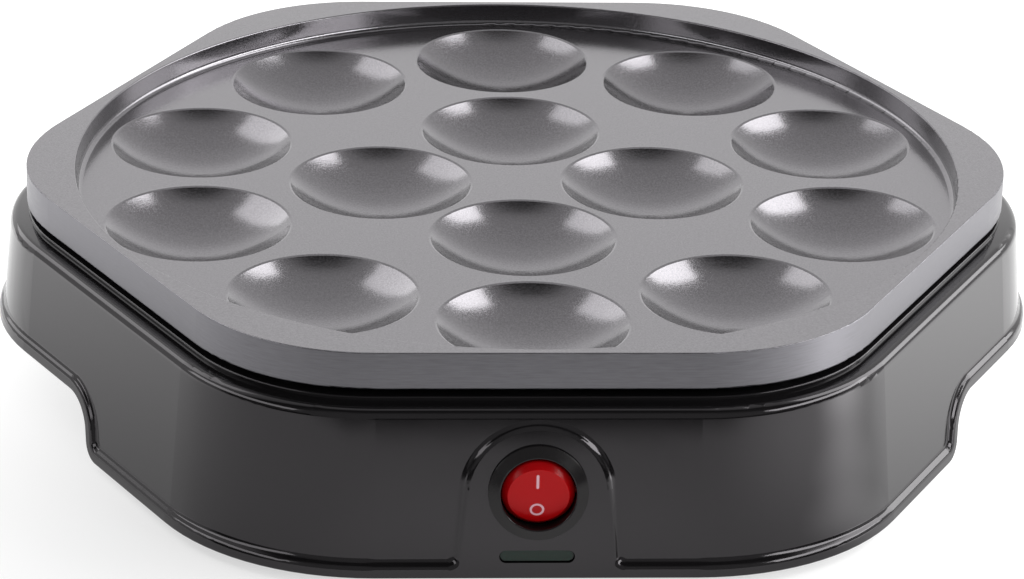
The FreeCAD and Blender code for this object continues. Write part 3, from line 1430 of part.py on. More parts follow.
def cord_clamp():
    """Saddle screwed up against the shelf, with the cord's channel between its screws."""
    low = CORD_OUTLET_HEIGHT - CORD_BORE_RADIUS - CLAMP_FLOOR
    high = shelf_bottom()
    channel = CORD_BORE_RADIUS + 0.2
    half = CLAMP_HALF_WIDTH
    saddle = outline([
        (-half, low + 3, 1.5),
        (-channel - 2, low, 1.5),
        (channel + 2, low, 1.5),
        (half, low + 3, 1.5),
        (half, high),
        (channel, high),
        (channel, CORD_OUTLET_HEIGHT - channel, channel),
        (-channel, CORD_OUTLET_HEIGHT - channel, channel),
        (-channel, high),
        (-half, high),
    ])
    saddle.translate(Vector(0, clamp_y() - CLAMP_LENGTH / 2, 0))
    saddle = saddle.extrude(Vector(0, CLAMP_LENGTH, 0))
    holes = []
    for x in (-CLAMP_SCREW_X, CLAMP_SCREW_X):
        holes.append(cylinder(M3_RADIUS + PASS_CLEARANCE, low - 1, high + 1, x, clamp_y()))
        holes.append(cylinder(M3_HEAD_RADIUS + 0.3, low - 1, clamp_seat(), x, clamp_y()))
    return saddle.cut(holes)


def clamp_seat():
    """Level of the seats for the clamp screws' heads."""
    return CORD_OUTLET_HEIGHT - CORD_BORE_RADIUS


def clamp_screws():
    seat = clamp_seat()
    shank = m3_screw(shelf_bottom() + SHELF_THICKNESS - 1 - seat)
    return group(moved(shank, x, clamp_y(), seat) for x in (-CLAMP_SCREW_X, CLAMP_SCREW_X))


def block_poles():
    pitch = BLOCK_LENGTH / BLOCK_POLES
    first = -(BLOCK_POLES - 1) / 2 * pitch
    return [BLOCK_X + first + pitch * index for index in range(BLOCK_POLES)]


def block_levels():
    low = COVER_TOP + BLOCK_STAND
    return low, low + BLOCK_HEIGHT, low + BLOCK_HEIGHT * 0.55


def terminal_block():
    low, high, wire_level = block_levels()
    half_length = BLOCK_LENGTH / 2
    half_width = BLOCK_WIDTH / 2
    bar = box(BLOCK_X - half_length, BLOCK_X + half_length, BLOCK_Y - half_width,
              BLOCK_Y + half_width, low, high - 3)
    turrets = []
    for x in block_poles():
        turrets.append(box(x - 3.6, x + 3.6, BLOCK_Y - half_width, BLOCK_Y + half_width, low, high))
    block = joined([bar] + turrets)
    holes = [cylinder(M3_RADIUS + PASS_CLEARANCE, low - 1, low + 2.2, BLOCK_X, BLOCK_Y)]
    for x in block_poles():
        bore = cylinder(BLOCK_SLEEVE_RADIUS + 0.1, -half_width - 1, half_width + 1)
        holes.append(along_y(bore, BLOCK_Y, wire_level, x))
        for y in (-4.5, 4.5):
            holes.append(cylinder(1.5, wire_level, high + 1, x, BLOCK_Y + y))
    return block.cut(holes)


def block_sleeves():
    """Brass sleeves of the terminal block, each with its two clamping screws."""
    low, high, wire_level = block_levels()
    half = BLOCK_WIDTH / 2 - 1
    sleeves = []
    for x in block_poles():
        sleeve = cylinder(BLOCK_SLEEVE_RADIUS, -half, half).cut(cylinder(1.3, -half - 1, half + 1))
        sleeve = along_y(sleeve, BLOCK_Y, wire_level, x)
        screws = [cylinder(1.35, wire_level + 1.4, high - 1.5, x, BLOCK_Y + y) for y in (-4.5, 4.5)]
        sleeves.append(joined([sleeve] + screws))
    return group(sleeves)


def earth_tag():
    """Ring tag on the plate's earth boss, with a short barrel for its lead."""
    place = earth_place()
    low = BOSS_BOTTOM - CLIP_THICKNESS
    ring = cylinder(PLATE_BOSS_RADIUS, low, BOSS_BOTTOM)
    tongue = box(-PLATE_BOSS_RADIUS - 2, 0, -1.1, 1.1, low, BOSS_BOTTOM)
    barrel = cylinder(1.5, PLATE_BOSS_RADIUS + 0.6, PLATE_BOSS_RADIUS + 5.6)
    barrel.rotate(ORIGIN, Vector(0, 1, 0), -90)
    barrel.translate(Vector(0, 0, low))
    tag = joined([ring, tongue, barrel])
    tag = tag.cut(cylinder(M3_RADIUS + PASS_CLEARANCE, low - 1, BOSS_BOTTOM + 1))
    return moved(tag, place.x, place.y)


def earth_screw():
    place = earth_place()
    return moved(m3_screw(BOSS_LENGTH), place.x, place.y, BOSS_BOTTOM - CLIP_THICKNESS)


def pieces():
    """Every piece of the appliance, by the name of its node."""
    return {
        "baking_plate": baking_plate(),
        "heating_element": heating_element(),
        "element_terminals": element_terminals(),
        "element_beads": element_beads(),
        "thermostat_cap": thermostat_cap(),
        "thermostat_body": thermostat_body(),
        "thermostat_blades": thermostat_blades(),
        "thermostat_screws": hub_screws(hub_screw_places()[:2]),
        "thermal_fuse": thermal_fuse(),
        "fuse_clip": fuse_clip(),
        "fuse_clip_screw": hub_screws(hub_screw_places()[2:]),
        "heat_shield": heat_shield(),
        "shield_spacers": shield_spacers(),
        "shield_screws": shield_screws(),
        "base_shell": base_shell(),
        "plate_screws": plate_screws(),
        "plate_washers": plate_washers(),
        "bottom_cover": bottom_cover(),
        "cover_screws": cover_screws(),
        "rubber_feet": rubber_feet(),
        "switch_housing": switch_housing(),
        "switch_rocker": switch_rocker(),
        "switch_plunger": switch_plunger(),
        "switch_spring": switch_spring(),
        "contact_blade": contact_blade(),
        "switch_common_terminal": switch_common_terminal(),
        "switch_load_terminal": switch_load_terminal(),
        "indicator_lens": indicator_lens(),
        "indicator_lamp": indicator_lamp(),
        "lamp_holder": lamp_holder(),
        "cord_bush": cord_bush(),
        "cord_clamp": cord_clamp(),
        "clamp_screws": clamp_screws(),
        "terminal_block": terminal_block(),
        "block_sleeves": block_sleeves(),
        "earth_tag": earth_tag(),
        "earth_screw": earth_screw(),
    }


def main():
    os.makedirs("parts", exist_ok=True)
    for name, shape in pieces().items():
        shape.exportStep("parts/" + name + ".step")


main()
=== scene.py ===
import logging
import math
from dataclasses import dataclass, field
from enum import Enum
from typing import Any, Sequence

import bmesh
import bpy
from mathutils import Matrix, Vector


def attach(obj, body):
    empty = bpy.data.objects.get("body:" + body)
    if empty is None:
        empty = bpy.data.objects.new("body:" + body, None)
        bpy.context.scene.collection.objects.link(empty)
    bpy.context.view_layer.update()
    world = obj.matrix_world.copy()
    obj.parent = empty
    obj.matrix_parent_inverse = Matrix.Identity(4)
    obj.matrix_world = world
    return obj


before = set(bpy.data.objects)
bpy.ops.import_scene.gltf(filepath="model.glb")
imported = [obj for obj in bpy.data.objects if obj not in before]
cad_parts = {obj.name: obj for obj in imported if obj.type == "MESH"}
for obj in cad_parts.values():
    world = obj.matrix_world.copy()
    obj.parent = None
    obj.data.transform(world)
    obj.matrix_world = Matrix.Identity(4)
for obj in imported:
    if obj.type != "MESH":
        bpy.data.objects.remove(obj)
log = logging.getLogger("mini_pancake_maker")
MM = 0.001
# Places of the Mix node's two inputs and its output, by the kind of value that it mixes.
NUMBER_A, NUMBER_B, NUMBER_OUT = 2, 3, 0
VECTOR_A, VECTOR_B, VECTOR_OUT = 4, 5, 1
COLOUR_A, COLOUR_B, COLOUR_OUT = 6, 7, 2

Colour = tuple[float, float, float, float]
Tree = bpy.types.NodeTree
Socket = bpy.types.NodeSocket


def linear(hex_colour: str, factor: float = 1.0) -> Colour:
    """Turns an sRGB hex colour into linear values.

    Args:
        hex_colour: The colour, such as "#8f8f91".
        factor: How much paler it is made, or darker where this is below 1.

    Returns:
        Red, green, blue, and 1 for a solid colour.
    """
    values = [int(hex_colour[place:place + 2], 16) / 255 for place in (1, 3, 5)]
    red, green, blue = (v / 12.92 if v <= 0.04045 else ((v + 0.055) / 1.055) ** 2.4 for v in values)
    return red * factor, green * factor, blue * factor, 1.0


def add_node(
    tree: Tree,
    kind: str,
    inputs: dict[str | int, Any] | None = None,
    **properties: Any,
) -> bpy.types.Node:
    """Adds a node with its settings and links.

    Args:
        tree: The node tree.
        kind: The node's type name.
        inputs: Input name or place, with its value, or the output socket linked to it.
        properties: The node's own properties.

    Returns:
        The new node.
    """
    node = tree.nodes.new(kind)
    for name, value in properties.items():
        setattr(node, name, value)
    for name, value in (inputs or {}).items():
        if isinstance(value, bpy.types.NodeSocket):
            tree.links.new(value, node.inputs[name])
        else:
            node.inputs[name].default_value = value
    return node


@dataclass(frozen=True)
class Finish:
    """What a surface is made of and how it was made.

    In the finishes, a pair of fields that end in _from and _to holds the values of a pattern,
    0 to 1, between which a patch grows from nothing to its full strength.
    """

    title: str
    colour: str

    def tone(self, factor: float = 1.0) -> Colour:
        """Gives the finish's colour, made darker or paler by a factor."""
        return linear(self.colour, factor)

    def material(self) -> bpy.types.Material:
        """Makes the material, or gives the one already made.

        Returns:
            The material, with its nodes.
        """
        known = bpy.data.materials.get(self.title)
        if known is not None:
            return known
        material = bpy.data.materials.new(self.title)
        material.use_nodes = True
        tree = material.node_tree
        tree.nodes.clear()
        place = add_node(tree, "ShaderNodeTexCoord").outputs["Object"]
        shader = self.dress(tree, place)
        add_node(tree, "ShaderNodeOutputMaterial", {"Surface": shader.outputs[0]})
        material.diffuse_color = self.tone()
        return material

    def dress(self, tree: Tree, place: Socket) -> bpy.types.Node:
        """Adds the pattern and the shader.

        Args:
            tree: The material's nodes.
            place: Socket with the place in the appliance's frame, in metres.

        Returns:
            The shader's node.
        """
        raise NotImplementedError


@dataclass(frozen=True)
class PolishedPlastic(Finish):
    """ABS or nylon moulded in a polished tool."""

    # Gives the eye a deep gloss whose reflections bend a little, as on any thin moulded wall,
    # and faint duller patches where it has been wiped.
    roughness: float = 0.10
    ior: float = 1.54
    shine: float = 0.5
    cast: str = "#ffffff"
    wave_mm: float = 30.0
    wave_depth_mm: float = 0.008
    wiped_mm: float = 11.0
    wiped_from: float = 0.35
    wiped_to: float = 0.75
    # Shares of the roughness: where it shines most, and where it was wiped most.
    least_dull: float = 0.9
    most_dull: float = 1.3

    def dress(self, tree: Tree, place: Socket) -> bpy.types.Node:
        """Adds slow waves in the gloss and the wiped patches.

        Args:
            tree: The material's nodes.
            place: Socket with the place in the appliance's frame, in metres.

        Returns:
            The shader's node.
        """
        wave = add_node(tree, "ShaderNodeTexNoise", {
            "Vector": place, "Scale": 1 / (self.wave_mm * MM), "Detail": 1.0})
        relief = add_node(tree, "ShaderNodeBump", {
            "Height": wave.outputs[0], "Distance": self.wave_depth_mm * MM, "Strength": 1.0})
        wiped = add_node(tree, "ShaderNodeTexNoise", {
            "Vector": place, "Scale": 1 / (self.wiped_mm * MM), "Detail": 3.0})
        gloss = add_node(tree, "ShaderNodeMapRange", {
            "Value": wiped.outputs[0], "From Min": self.wiped_from, "From Max": self.wiped_to,
            "To Min": self.roughness * self.least_dull,
            "To Max": self.roughness * self.most_dull}, interpolation_type="SMOOTHSTEP")
        return add_node(tree, "ShaderNodeBsdfPrincipled", {
            "Base Color": self.tone(), "Roughness": gloss.outputs[0], "IOR": self.ior,
            "Specular IOR Level": self.shine, "Specular Tint": linear(self.cast),
            "Normal": relief.outputs[0]})


@dataclass(frozen=True)
class GrainedPlastic(Finish):
    """Polypropylene or nylon moulded in a spark-eroded tool, or ink that dried as dull."""

    # Gives the eye a matte skin with a fine pebbled grain, a little uneven in tone.
    roughness: float = 0.55
    ior: float = 1.49
    grain_mm: float = 0.7
    depth_mm: float = 0.03
    patch_mm: float = 14.0
    patch_tone: float = 0.8

    def dress(self, tree: Tree, place: Socket) -> bpy.types.Node:
        """Adds the pebbled grain and the patches.

        Args:
            tree: The material's nodes.
            place: Socket with the place in the appliance's frame, in metres.

        Returns:
            The shader's node.
        """
        grain = add_node(tree, "ShaderNodeTexNoise", {
            "Vector": place, "Scale": 1 / (self.grain_mm * MM), "Detail": 3.0})
        relief = add_node(tree, "ShaderNodeBump", {
            "Height": grain.outputs[0], "Distance": self.depth_mm * MM, "Strength": 1.0})
        patches = add_node(tree, "ShaderNodeTexNoise", {
            "Vector": place, "Scale": 1 / (self.patch_mm * MM), "Detail": 2.0})
        tone = add_node(tree, "ShaderNodeMix", {
            0: patches.outputs[0], COLOUR_A: self.tone(), COLOUR_B: self.tone(self.patch_tone)},
            data_type="RGBA")
        return add_node(tree, "ShaderNodeBsdfPrincipled", {
            "Base Color": tone.outputs[COLOUR_OUT], "Roughness": self.roughness,
            "IOR": self.ior, "Normal": relief.outputs[0]})


@dataclass(frozen=True)
class MouldedRubber(Finish):
    """Synthetic rubber moulded in a blasted tool."""

    # Gives the eye a dull black with a dusty bloom in soft patches.
    roughness: float = 0.7
    ior: float = 1.52
    bloom: str = "#3a3a3a"
    bloom_mm: float = 2.4
    bloom_from: float = 0.45
    bloom_to: float = 0.75
    bloom_share: float = 0.6
    grain_mm: float = 0.5
    grain_depth_mm: float = 0.02

    def dress(self, tree: Tree, place: Socket) -> bpy.types.Node:
        """Adds the bloom and a fine grain.

        Args:
            tree: The material's nodes.
            place: Socket with the place in the appliance's frame, in metres.

        Returns:
            The shader's node.
        """
        dust = add_node(tree, "ShaderNodeTexNoise", {
            "Vector": place, "Scale": 1 / (self.bloom_mm * MM), "Detail": 4.0})
        share = add_node(tree, "ShaderNodeMapRange", {
            "Value": dust.outputs[0], "From Min": self.bloom_from, "From Max": self.bloom_to,
            "To Max": self.bloom_share}, interpolation_type="SMOOTHSTEP")
        tone = add_node(tree, "ShaderNodeMix", {
            0: share.outputs[0], COLOUR_A: self.tone(), COLOUR_B: linear(self.bloom)},
            data_type="RGBA")
        grain = add_node(tree, "ShaderNodeTexNoise", {
            "Vector": place, "Scale": 1 / (self.grain_mm * MM), "Detail": 2.0})
        relief = add_node(tree, "ShaderNodeBump", {
            "Height": grain.outputs[0], "Distance": self.grain_depth_mm * MM, "Strength": 1.0})
        return add_node(tree, "ShaderNodeBsdfPrincipled", {
            "Base Color": tone.outputs[COLOUR_OUT], "Roughness": self.roughness,
            "IOR": self.ior, "Normal": relief.outputs[0]})


@dataclass(frozen=True)
class TintedPolycarbonate(Finish):
    """Polycarbonate dyed through and moulded clear."""

    # Gives the eye a colour that comes from inside the wall, under a weak clear gloss.
    roughness: float = 0.12
    ior: float = 1.585
    shine: float = 0.5
    clearness: float = 0.0
    glow: float = 0.5
    glow_mm: float = 1.2
    # How far red, green and blue light reach inside the wall, as shares of glow_mm.
    glow_reach: tuple[float, float, float] = (1.0, 0.25, 0.2)
    sink_mm: float = 5.0
    sink_depth_mm: float = 0.008

    def dress(self, tree: Tree, place: Socket) -> bpy.types.Node:
        """Adds the dye, the light that comes back out, and faint sink marks.

        Args:
            tree: The material's nodes.
            place: Socket with the place in the appliance's frame, in metres.

        Returns:
            The shader's node.
        """
        sink = add_node(tree, "ShaderNodeTexNoise", {
            "Vector": place, "Scale": 1 / (self.sink_mm * MM), "Detail": 1.0})
        relief = add_node(tree, "ShaderNodeBump", {
            "Height": sink.outputs[0], "Distance": self.sink_depth_mm * MM, "Strength": 1.0})
        return add_node(tree, "ShaderNodeBsdfPrincipled", {
            "Base Color": self.tone(), "Roughness": self.roughness, "IOR": self.ior,
            "Specular IOR Level": self.shine, "Subsurface Weight": self.glow,
            "Subsurface Radius": self.glow_reach, "Subsurface Scale": self.glow_mm * MM,
            "Transmission Weight": self.clearness, "Normal": relief.outputs[0]})


@dataclass(frozen=True)
class PlatedMetal(Finish):
    """Stamped, drawn or turned metal: zinc-plated or aluminised steel, or brass."""

    # Gives the eye fine draw lines and duller patches of tarnish.
    roughness: float = 0.3
    line_mm: float = 0.25
    line_depth_mm: float = 0.006
    # The draw lines' width as a share of their length.
    line_slimness: float = 0.08
    tarnish: str = "#7d7a72"
    tarnish_mm: float = 6.0
    tarnish_from: float = 0.5
    tarnish_to: float = 0.8
    tarnish_share: float = 0.5
    tarnish_dullness: float = 0.2

    def dress(self, tree: Tree, place: Socket) -> bpy.types.Node:
        """Adds the draw lines and the tarnish.

        Args:
            tree: The material's nodes.
            place: Socket with the place in the appliance's frame, in metres.

        Returns:
            The shader's node.
        """
        drawn = add_node(tree, "ShaderNodeMapping", {
            "Vector": place, "Scale": (1.0, self.line_slimness, 1.0)})
        lines = add_node(tree, "ShaderNodeTexNoise", {
            "Vector": drawn.outputs[0], "Scale": 1 / (self.line_mm * MM), "Detail": 2.0})
        relief = add_node(tree, "ShaderNodeBump", {
            "Height": lines.outputs[0], "Distance": self.line_depth_mm * MM, "Strength": 1.0})
        patches = add_node(tree, "ShaderNodeTexNoise", {
            "Vector": place, "Scale": 1 / (self.tarnish_mm * MM), "Detail": 4.0})
        share = add_node(tree, "ShaderNodeMapRange", {
            "Value": patches.outputs[0], "From Min": self.tarnish_from,
            "From Max": self.tarnish_to, "To Max": self.tarnish_share},
            interpolation_type="SMOOTHSTEP")
        tone = add_node(tree, "ShaderNodeMix", {
            0: share.outputs[0], COLOUR_A: self.tone(), COLOUR_B: linear(self.tarnish)},
            data_type="RGBA")
        dull = add_node(tree, "ShaderNodeMapRange", {
            "Value": share.outputs[0], "From Max": self.tarnish_share,
            "To Min": self.roughness, "To Max": self.roughness + self.tarnish_dullness})
        return add_node(tree, "ShaderNodeBsdfPrincipled", {
            "Base Color": tone.outputs[COLOUR_OUT], "Roughness": dull.outputs[0],
            "Metallic": 1.0, "Normal": relief.outputs[0]})


@dataclass(frozen=True)
class FiredCeramic(Finish):
    """Steatite fired without glaze, or pressed mineral fibre."""

    # Gives the eye a chalky body with fine pits and specks of a darker mineral.
    roughness: float = 0.65
    specks: str = "#6f675c"
    specks_from: float = 0.66
    specks_to: float = 0.72
    specks_share: float = 0.6
    pit_mm: float = 0.4
    pit_depth_mm: float = 0.02

    def dress(self, tree: Tree, place: Socket) -> bpy.types.Node:
        """Adds the pits and the specks.

        Args:
            tree: The material's nodes.
            place: Socket with the place in the appliance's frame, in metres.

        Returns:
            The shader's node.
        """
        pits = add_node(tree, "ShaderNodeTexNoise", {
            "Vector": place, "Scale": 1 / (self.pit_mm * MM), "Detail": 3.0})
        share = add_node(tree, "ShaderNodeMapRange", {
            "Value": pits.outputs[0], "From Min": self.specks_from, "From Max": self.specks_to,
            "To Max": self.specks_share})
        tone = add_node(tree, "ShaderNodeMix", {
            0: share.outputs[0], COLOUR_A: self.tone(), COLOUR_B: linear(self.specks)},
            data_type="RGBA")
        relief = add_node(tree, "ShaderNodeBump", {
            "Height": pits.outputs[0], "Distance": self.pit_depth_mm * MM, "Strength": 1.0})
        return add_node(tree, "ShaderNodeBsdfPrincipled", {
            "Base Color": tone.outputs[COLOUR_OUT], "Roughness": self.roughness,
            "Normal": relief.outputs[0]})


@dataclass(frozen=True)
class ClearGlass(Finish):
    """Glass of a small lamp, drawn and sealed by hand."""

    # Gives the eye a clear bead with a slightly uneven surface.
    roughness: float = 0.05
    ior: float = 1.5
    ripple_mm: float = 1.5
    ripple_depth_mm: float = 0.01

    def dress(self, tree: Tree, place: Socket) -> bpy.types.Node:
        """Adds the clear glass and its ripple.

        Args:
            tree: The material's nodes.
            place: Socket with the place in the appliance's frame, in metres.

        Returns:
            The shader's node.
        """
        ripple = add_node(tree, "ShaderNodeTexNoise", {
            "Vector": place, "Scale": 1 / (self.ripple_mm * MM), "Detail": 1.0})
        relief = add_node(tree, "ShaderNodeBump", {
            "Height": ripple.outputs[0], "Distance": self.ripple_depth_mm * MM, "Strength": 1.0})
        return add_node(tree, "ShaderNodeBsdfPrincipled", {
            "Base Color": self.tone(), "Roughness": self.roughness, "IOR": self.ior,
            "Transmission Weight": 1.0, "Normal": relief.outputs[0]})


@dataclass(frozen=True)
class EdgeRound:
    """A round that runs about the recess, with the ring that its curve is centred on."""

    reach_mm: float
    height_mm: float
    radius_mm: float
    # 1 for an edge that curves outward, -1 for a corner that curves inward.
    bulge: float


@dataclass(frozen=True)
class Spot:
    """Where a point of the casting lies and which way the surface faces there.

    The sockets hold its height, its distance from the upright middle line, the level direction
    away from that line, the mesh's own normal, its smoothed normal, and how far the mesh's own
    normal points up, from -1 to 1.
    """

    height: Socket
    reach: Socket
    away: Socket
    facet: Socket
    smooth: Socket
    rise: Socket


@dataclass(frozen=True)
class CoatedCasting(Finish):
    """Die-cast aluminium, sprayed with a non-stick coat that holds metal flakes.

    The outer side was ground after coating, and the underside was never coated.
    """

    # Gives the eye a soft grey shine with a fine sparkle on top, level grinding marks round the
    # side, and dull bare metal underneath. The real flakes are under 0.1 mm: these are coarser,
    # so that they show. Tones are shares of a colour, darkest and palest; each roughness is
    # given from the shiniest to the dullest.
    metal_share: float = 0.93
    coat_tones: tuple[float, float] = (0.88, 1.14)
    coat_roughness: tuple[float, float] = (0.125, 0.225)
    flake_mm: float = 0.42
    flake_depth_mm: float = 0.012
    side_colour: str = "#717074"
    side_tones: tuple[float, float] = (0.85, 1.17)
    side_roughness: tuple[float, float] = (0.34, 0.52)
    mark_length_mm: float = 5.0
    mark_height_mm: float = 0.4
    pattern_from: float = 0.3
    pattern_to: float = 0.7
    bare_colour: str = "#a3a4a6"
    # The ground side lies beyond this reach and faces less far up or down than this rise. The
    # bare metal lies under this height and faces less far up than this rise.
    side_reach_mm: float = 110.9
    side_rise: float = 0.75
    bare_height_mm: float = 46.4
    bare_rise: float = 0.05
    # A flat faces further up than this rise. The wall's rise is that of its draft, and this
    # much more or less.
    flat_rise: float = 0.99995
    wall_draft: float = 3.0
    wall_leeway: float = 0.01
    foot: EdgeRound = EdgeRound(reach_mm=108.08, height_mm=51.0, radius_mm=1.5, bulge=-1.0)
    brim: EdgeRound = EdgeRound(reach_mm=110.18, height_mm=54.8, radius_mm=0.4, bulge=1.0)
    # How far a straight strip of the mesh cuts inside the ring that it follows.
    chord_mm: float = 0.05

    def spot(self, tree: Tree, place: Socket) -> Spot:
        """Works out where a point lies and which way the surface faces there.

        Args:
            tree: The material's nodes.
            place: Socket with the place in the appliance's frame, in metres.

        Returns:
            The sockets that tell it.
        """
        parts = add_node(tree, "ShaderNodeSeparateXYZ", {"Vector": place})
        plan = add_node(tree, "ShaderNodeVectorMath", {0: place, 1: (1, 1, 0)},
                        operation="MULTIPLY").outputs[0]
        reach = add_node(tree, "ShaderNodeVectorMath", {0: plan}, operation="LENGTH")
        away = add_node(tree, "ShaderNodeVectorMath", {0: plan}, operation="NORMALIZE")
        facing = add_node(tree, "ShaderNodeNewGeometry").outputs
        rise = add_node(tree, "ShaderNodeSeparateXYZ", {"Vector": facing["True Normal"]})
        return Spot(parts.outputs["Z"], reach.outputs["Value"], away.outputs[0],
                    facing["True Normal"], facing["Normal"], rise.outputs["Z"])

    def zones(self, tree: Tree, spot: Spot) -> tuple[Socket, Socket]:
        """Tells the ground side and the bare underside from the coated top.

        Args:
            tree: The material's nodes.
            spot: Where the point lies and which way the surface faces.

        Returns:
            A socket that is 1 on the ground side and 0 elsewhere, and one for the bare metal.
        """
        outside = add_node(tree, "ShaderNodeMath", {
            0: spot.reach, 1: self.side_reach_mm * MM}, operation="GREATER_THAN")
        steep = add_node(tree, "ShaderNodeMath", {
            0: spot.rise, 1: 0.0, 2: self.side_rise}, operation="COMPARE")
        on_side = add_node(tree, "ShaderNodeMath", {
            0: outside.outputs[0], 1: steep.outputs[0]}, operation="MULTIPLY").outputs[0]
        low = add_node(tree, "ShaderNodeMath", {
            0: spot.height, 1: self.bare_height_mm * MM}, operation="LESS_THAN")
        downward = add_node(tree, "ShaderNodeMath", {
            0: spot.rise, 1: self.bare_rise}, operation="LESS_THAN")
        under = add_node(tree, "ShaderNodeMath", {
            0: low.outputs[0], 1: downward.outputs[0]}, operation="MULTIPLY")
        bare = add_node(tree, "ShaderNodeMath", {
            0: under.outputs[0], 1: on_side}, operation="GREATER_THAN").outputs[0]
        return on_side, bare

    def grinding(self, tree: Tree, place: Socket) -> Socket:
        """Gives the level grinding marks round the side.

        Args:
            tree: The material's nodes.
            place: Socket with the place in the appliance's frame, in metres.

        Returns:
            Socket with the pattern, 0 to 1.
        """
        parts = add_node(tree, "ShaderNodeSeparateXYZ", {"Vector": place})
        bearing = add_node(tree, "ShaderNodeMath", {
            0: parts.outputs["Y"], 1: parts.outputs["X"]}, operation="ARCTAN2")
        along = add_node(tree, "ShaderNodeMath", {
            0: bearing.outputs[0], 1: self.side_reach_mm / self.mark_length_mm},
            operation="MULTIPLY")
        across = add_node(tree, "ShaderNodeMath", {
            0: parts.outputs["Z"], 1: 1 / (self.mark_height_mm * MM)}, operation="MULTIPLY")
        track = add_node(tree, "ShaderNodeCombineXYZ", {
            "X": along.outputs[0], "Y": across.outputs[0]})
        return add_node(tree, "ShaderNodeTexNoise", {
            "Vector": track.outputs[0], "Scale": 1.0, "Detail": 4.0}).outputs[0]

    def uneven(self, tree: Tree, pattern: Socket, colour: str, tones: tuple[float, float],
               roughness: tuple[float, float]) -> tuple[Socket, Socket]:
        """Lets a zone's colour and roughness stray with a pattern.

        Args:
            tree: The material's nodes.
            pattern: Socket with the pattern, 0 to 1.
            colour: The zone's colour.
            tones: Its darkest and palest tone, as shares of the colour.
            roughness: Its roughness, from the shiniest to the dullest.

        Returns:
            Sockets with the colour and with the roughness.
        """
        spread = {"Value": pattern, "From Min": self.pattern_from, "From Max": self.pattern_to}
        share = add_node(tree, "ShaderNodeMapRange", spread)
        tone = add_node(tree, "ShaderNodeMix", {
            0: share.outputs[0], COLOUR_A: linear(colour, tones[0]),
            COLOUR_B: linear(colour, tones[1])}, data_type="RGBA")
        dull = add_node(tree, "ShaderNodeMapRange", {
            **spread, "To Min": roughness[0], "To Max": roughness[1]})
        return tone.outputs[COLOUR_OUT], dull.outputs[0]

    def on_round(self, tree: Tree, spot: Spot, edge: EdgeRound) -> tuple[Socket, Socket]:
        """Finds one of the recess's rounds and gives its true normal.

        Args:
            tree: The material's nodes.
            spot: Where the point lies and which way the surface faces.
            edge: The round.

        Returns:
            A socket that is 1 on the round and 0 elsewhere, and one with the normal.
        """
        outward = add_node(tree, "ShaderNodeMath", {
            0: spot.reach, 1: edge.bulge, 2: -edge.bulge * edge.reach_mm * MM},
            operation="MULTIPLY_ADD").outputs[0]
        upward = add_node(tree, "ShaderNodeMath", {
            0: spot.height, 1: edge.bulge, 2: -edge.bulge * edge.height_mm * MM},
            operation="MULTIPLY_ADD").outputs[0]
        inner = add_node(tree, "ShaderNodeMath", {0: outward, 1: 0.0}, operation="MINIMUM")
        upper = add_node(tree, "ShaderNodeMath", {0: upward, 1: 0.0}, operation="MAXIMUM")
        level_part = add_node(tree, "ShaderNodeVectorMath", {
            0: spot.away, "Scale": inner.outputs[0]}, operation="SCALE")
        upright_part = add_node(tree, "ShaderNodeCombineXYZ", {"Z": upper.outputs[0]})
        spoke = add_node(tree, "ShaderNodeVectorMath", {
            0: level_part.outputs[0], 1: upright_part.outputs[0]})
        normal = add_node(tree, "ShaderNodeVectorMath", {0: spoke.outputs[0]},
                          operation="NORMALIZE")
        middle = edge.radius_mm / 2 * MM
        margin = middle + self.chord_mm * MM
        beyond = add_node(tree, "ShaderNodeMath", {
            0: outward, 1: -middle, 2: margin}, operation="COMPARE")
        above = add_node(tree, "ShaderNodeMath", {
            0: upward, 1: middle, 2: margin}, operation="COMPARE")
        there = add_node(tree, "ShaderNodeMath", {
            0: beyond.outputs[0], 1: above.outputs[0]}, operation="MULTIPLY")
        return there.outputs[0], normal.outputs[0]

    def rounded(self, tree: Tree, spot: Spot) -> Socket:
        """Gives the true normal on the flats, the recess's wall and its two rounds.

        The mesh follows each round with a few flat strips, and this takes their facets out of
        the shine. The foot curves inward round a ring above the floor, and the brim outward
        round a ring below the top.

        Args:
            tree: The material's nodes.
            spot: Where the point lies and which way the surface faces.

        Returns:
            Socket with the normal.
        """
        on_flat = add_node(tree, "ShaderNodeMath", {
            0: spot.rise, 1: self.flat_rise}, operation="GREATER_THAN")
        normal = add_node(tree, "ShaderNodeMix", {
            0: on_flat.outputs[0], VECTOR_A: spot.smooth, VECTOR_B: spot.facet},
            data_type="VECTOR").outputs[VECTOR_OUT]
        draft = math.radians(self.wall_draft)
        inward = add_node(tree, "ShaderNodeVectorMath", {
            0: spot.away, "Scale": -math.cos(draft)}, operation="SCALE")
        wall = add_node(tree, "ShaderNodeVectorMath", {
            0: inward.outputs[0], 1: (0.0, 0.0, math.sin(draft))})
        upright = add_node(tree, "ShaderNodeMath", {
            0: spot.rise, 1: math.sin(draft), 2: self.wall_leeway}, operation="COMPARE")
        inside = add_node(tree, "ShaderNodeMath", {
            0: spot.reach, 1: self.brim.reach_mm * MM}, operation="LESS_THAN")
        on_wall = add_node(tree, "ShaderNodeMath", {
            0: upright.outputs[0], 1: inside.outputs[0]}, operation="MULTIPLY")
        normal = add_node(tree, "ShaderNodeMix", {
            0: on_wall.outputs[0], VECTOR_A: normal, VECTOR_B: wall.outputs[0]},
            data_type="VECTOR").outputs[VECTOR_OUT]
        for edge in (self.foot, self.brim):
            there, curved = self.on_round(tree, spot, edge)
            normal = add_node(tree, "ShaderNodeMix", {
                0: there, VECTOR_A: normal, VECTOR_B: curved},
                data_type="VECTOR").outputs[VECTOR_OUT]
        return normal

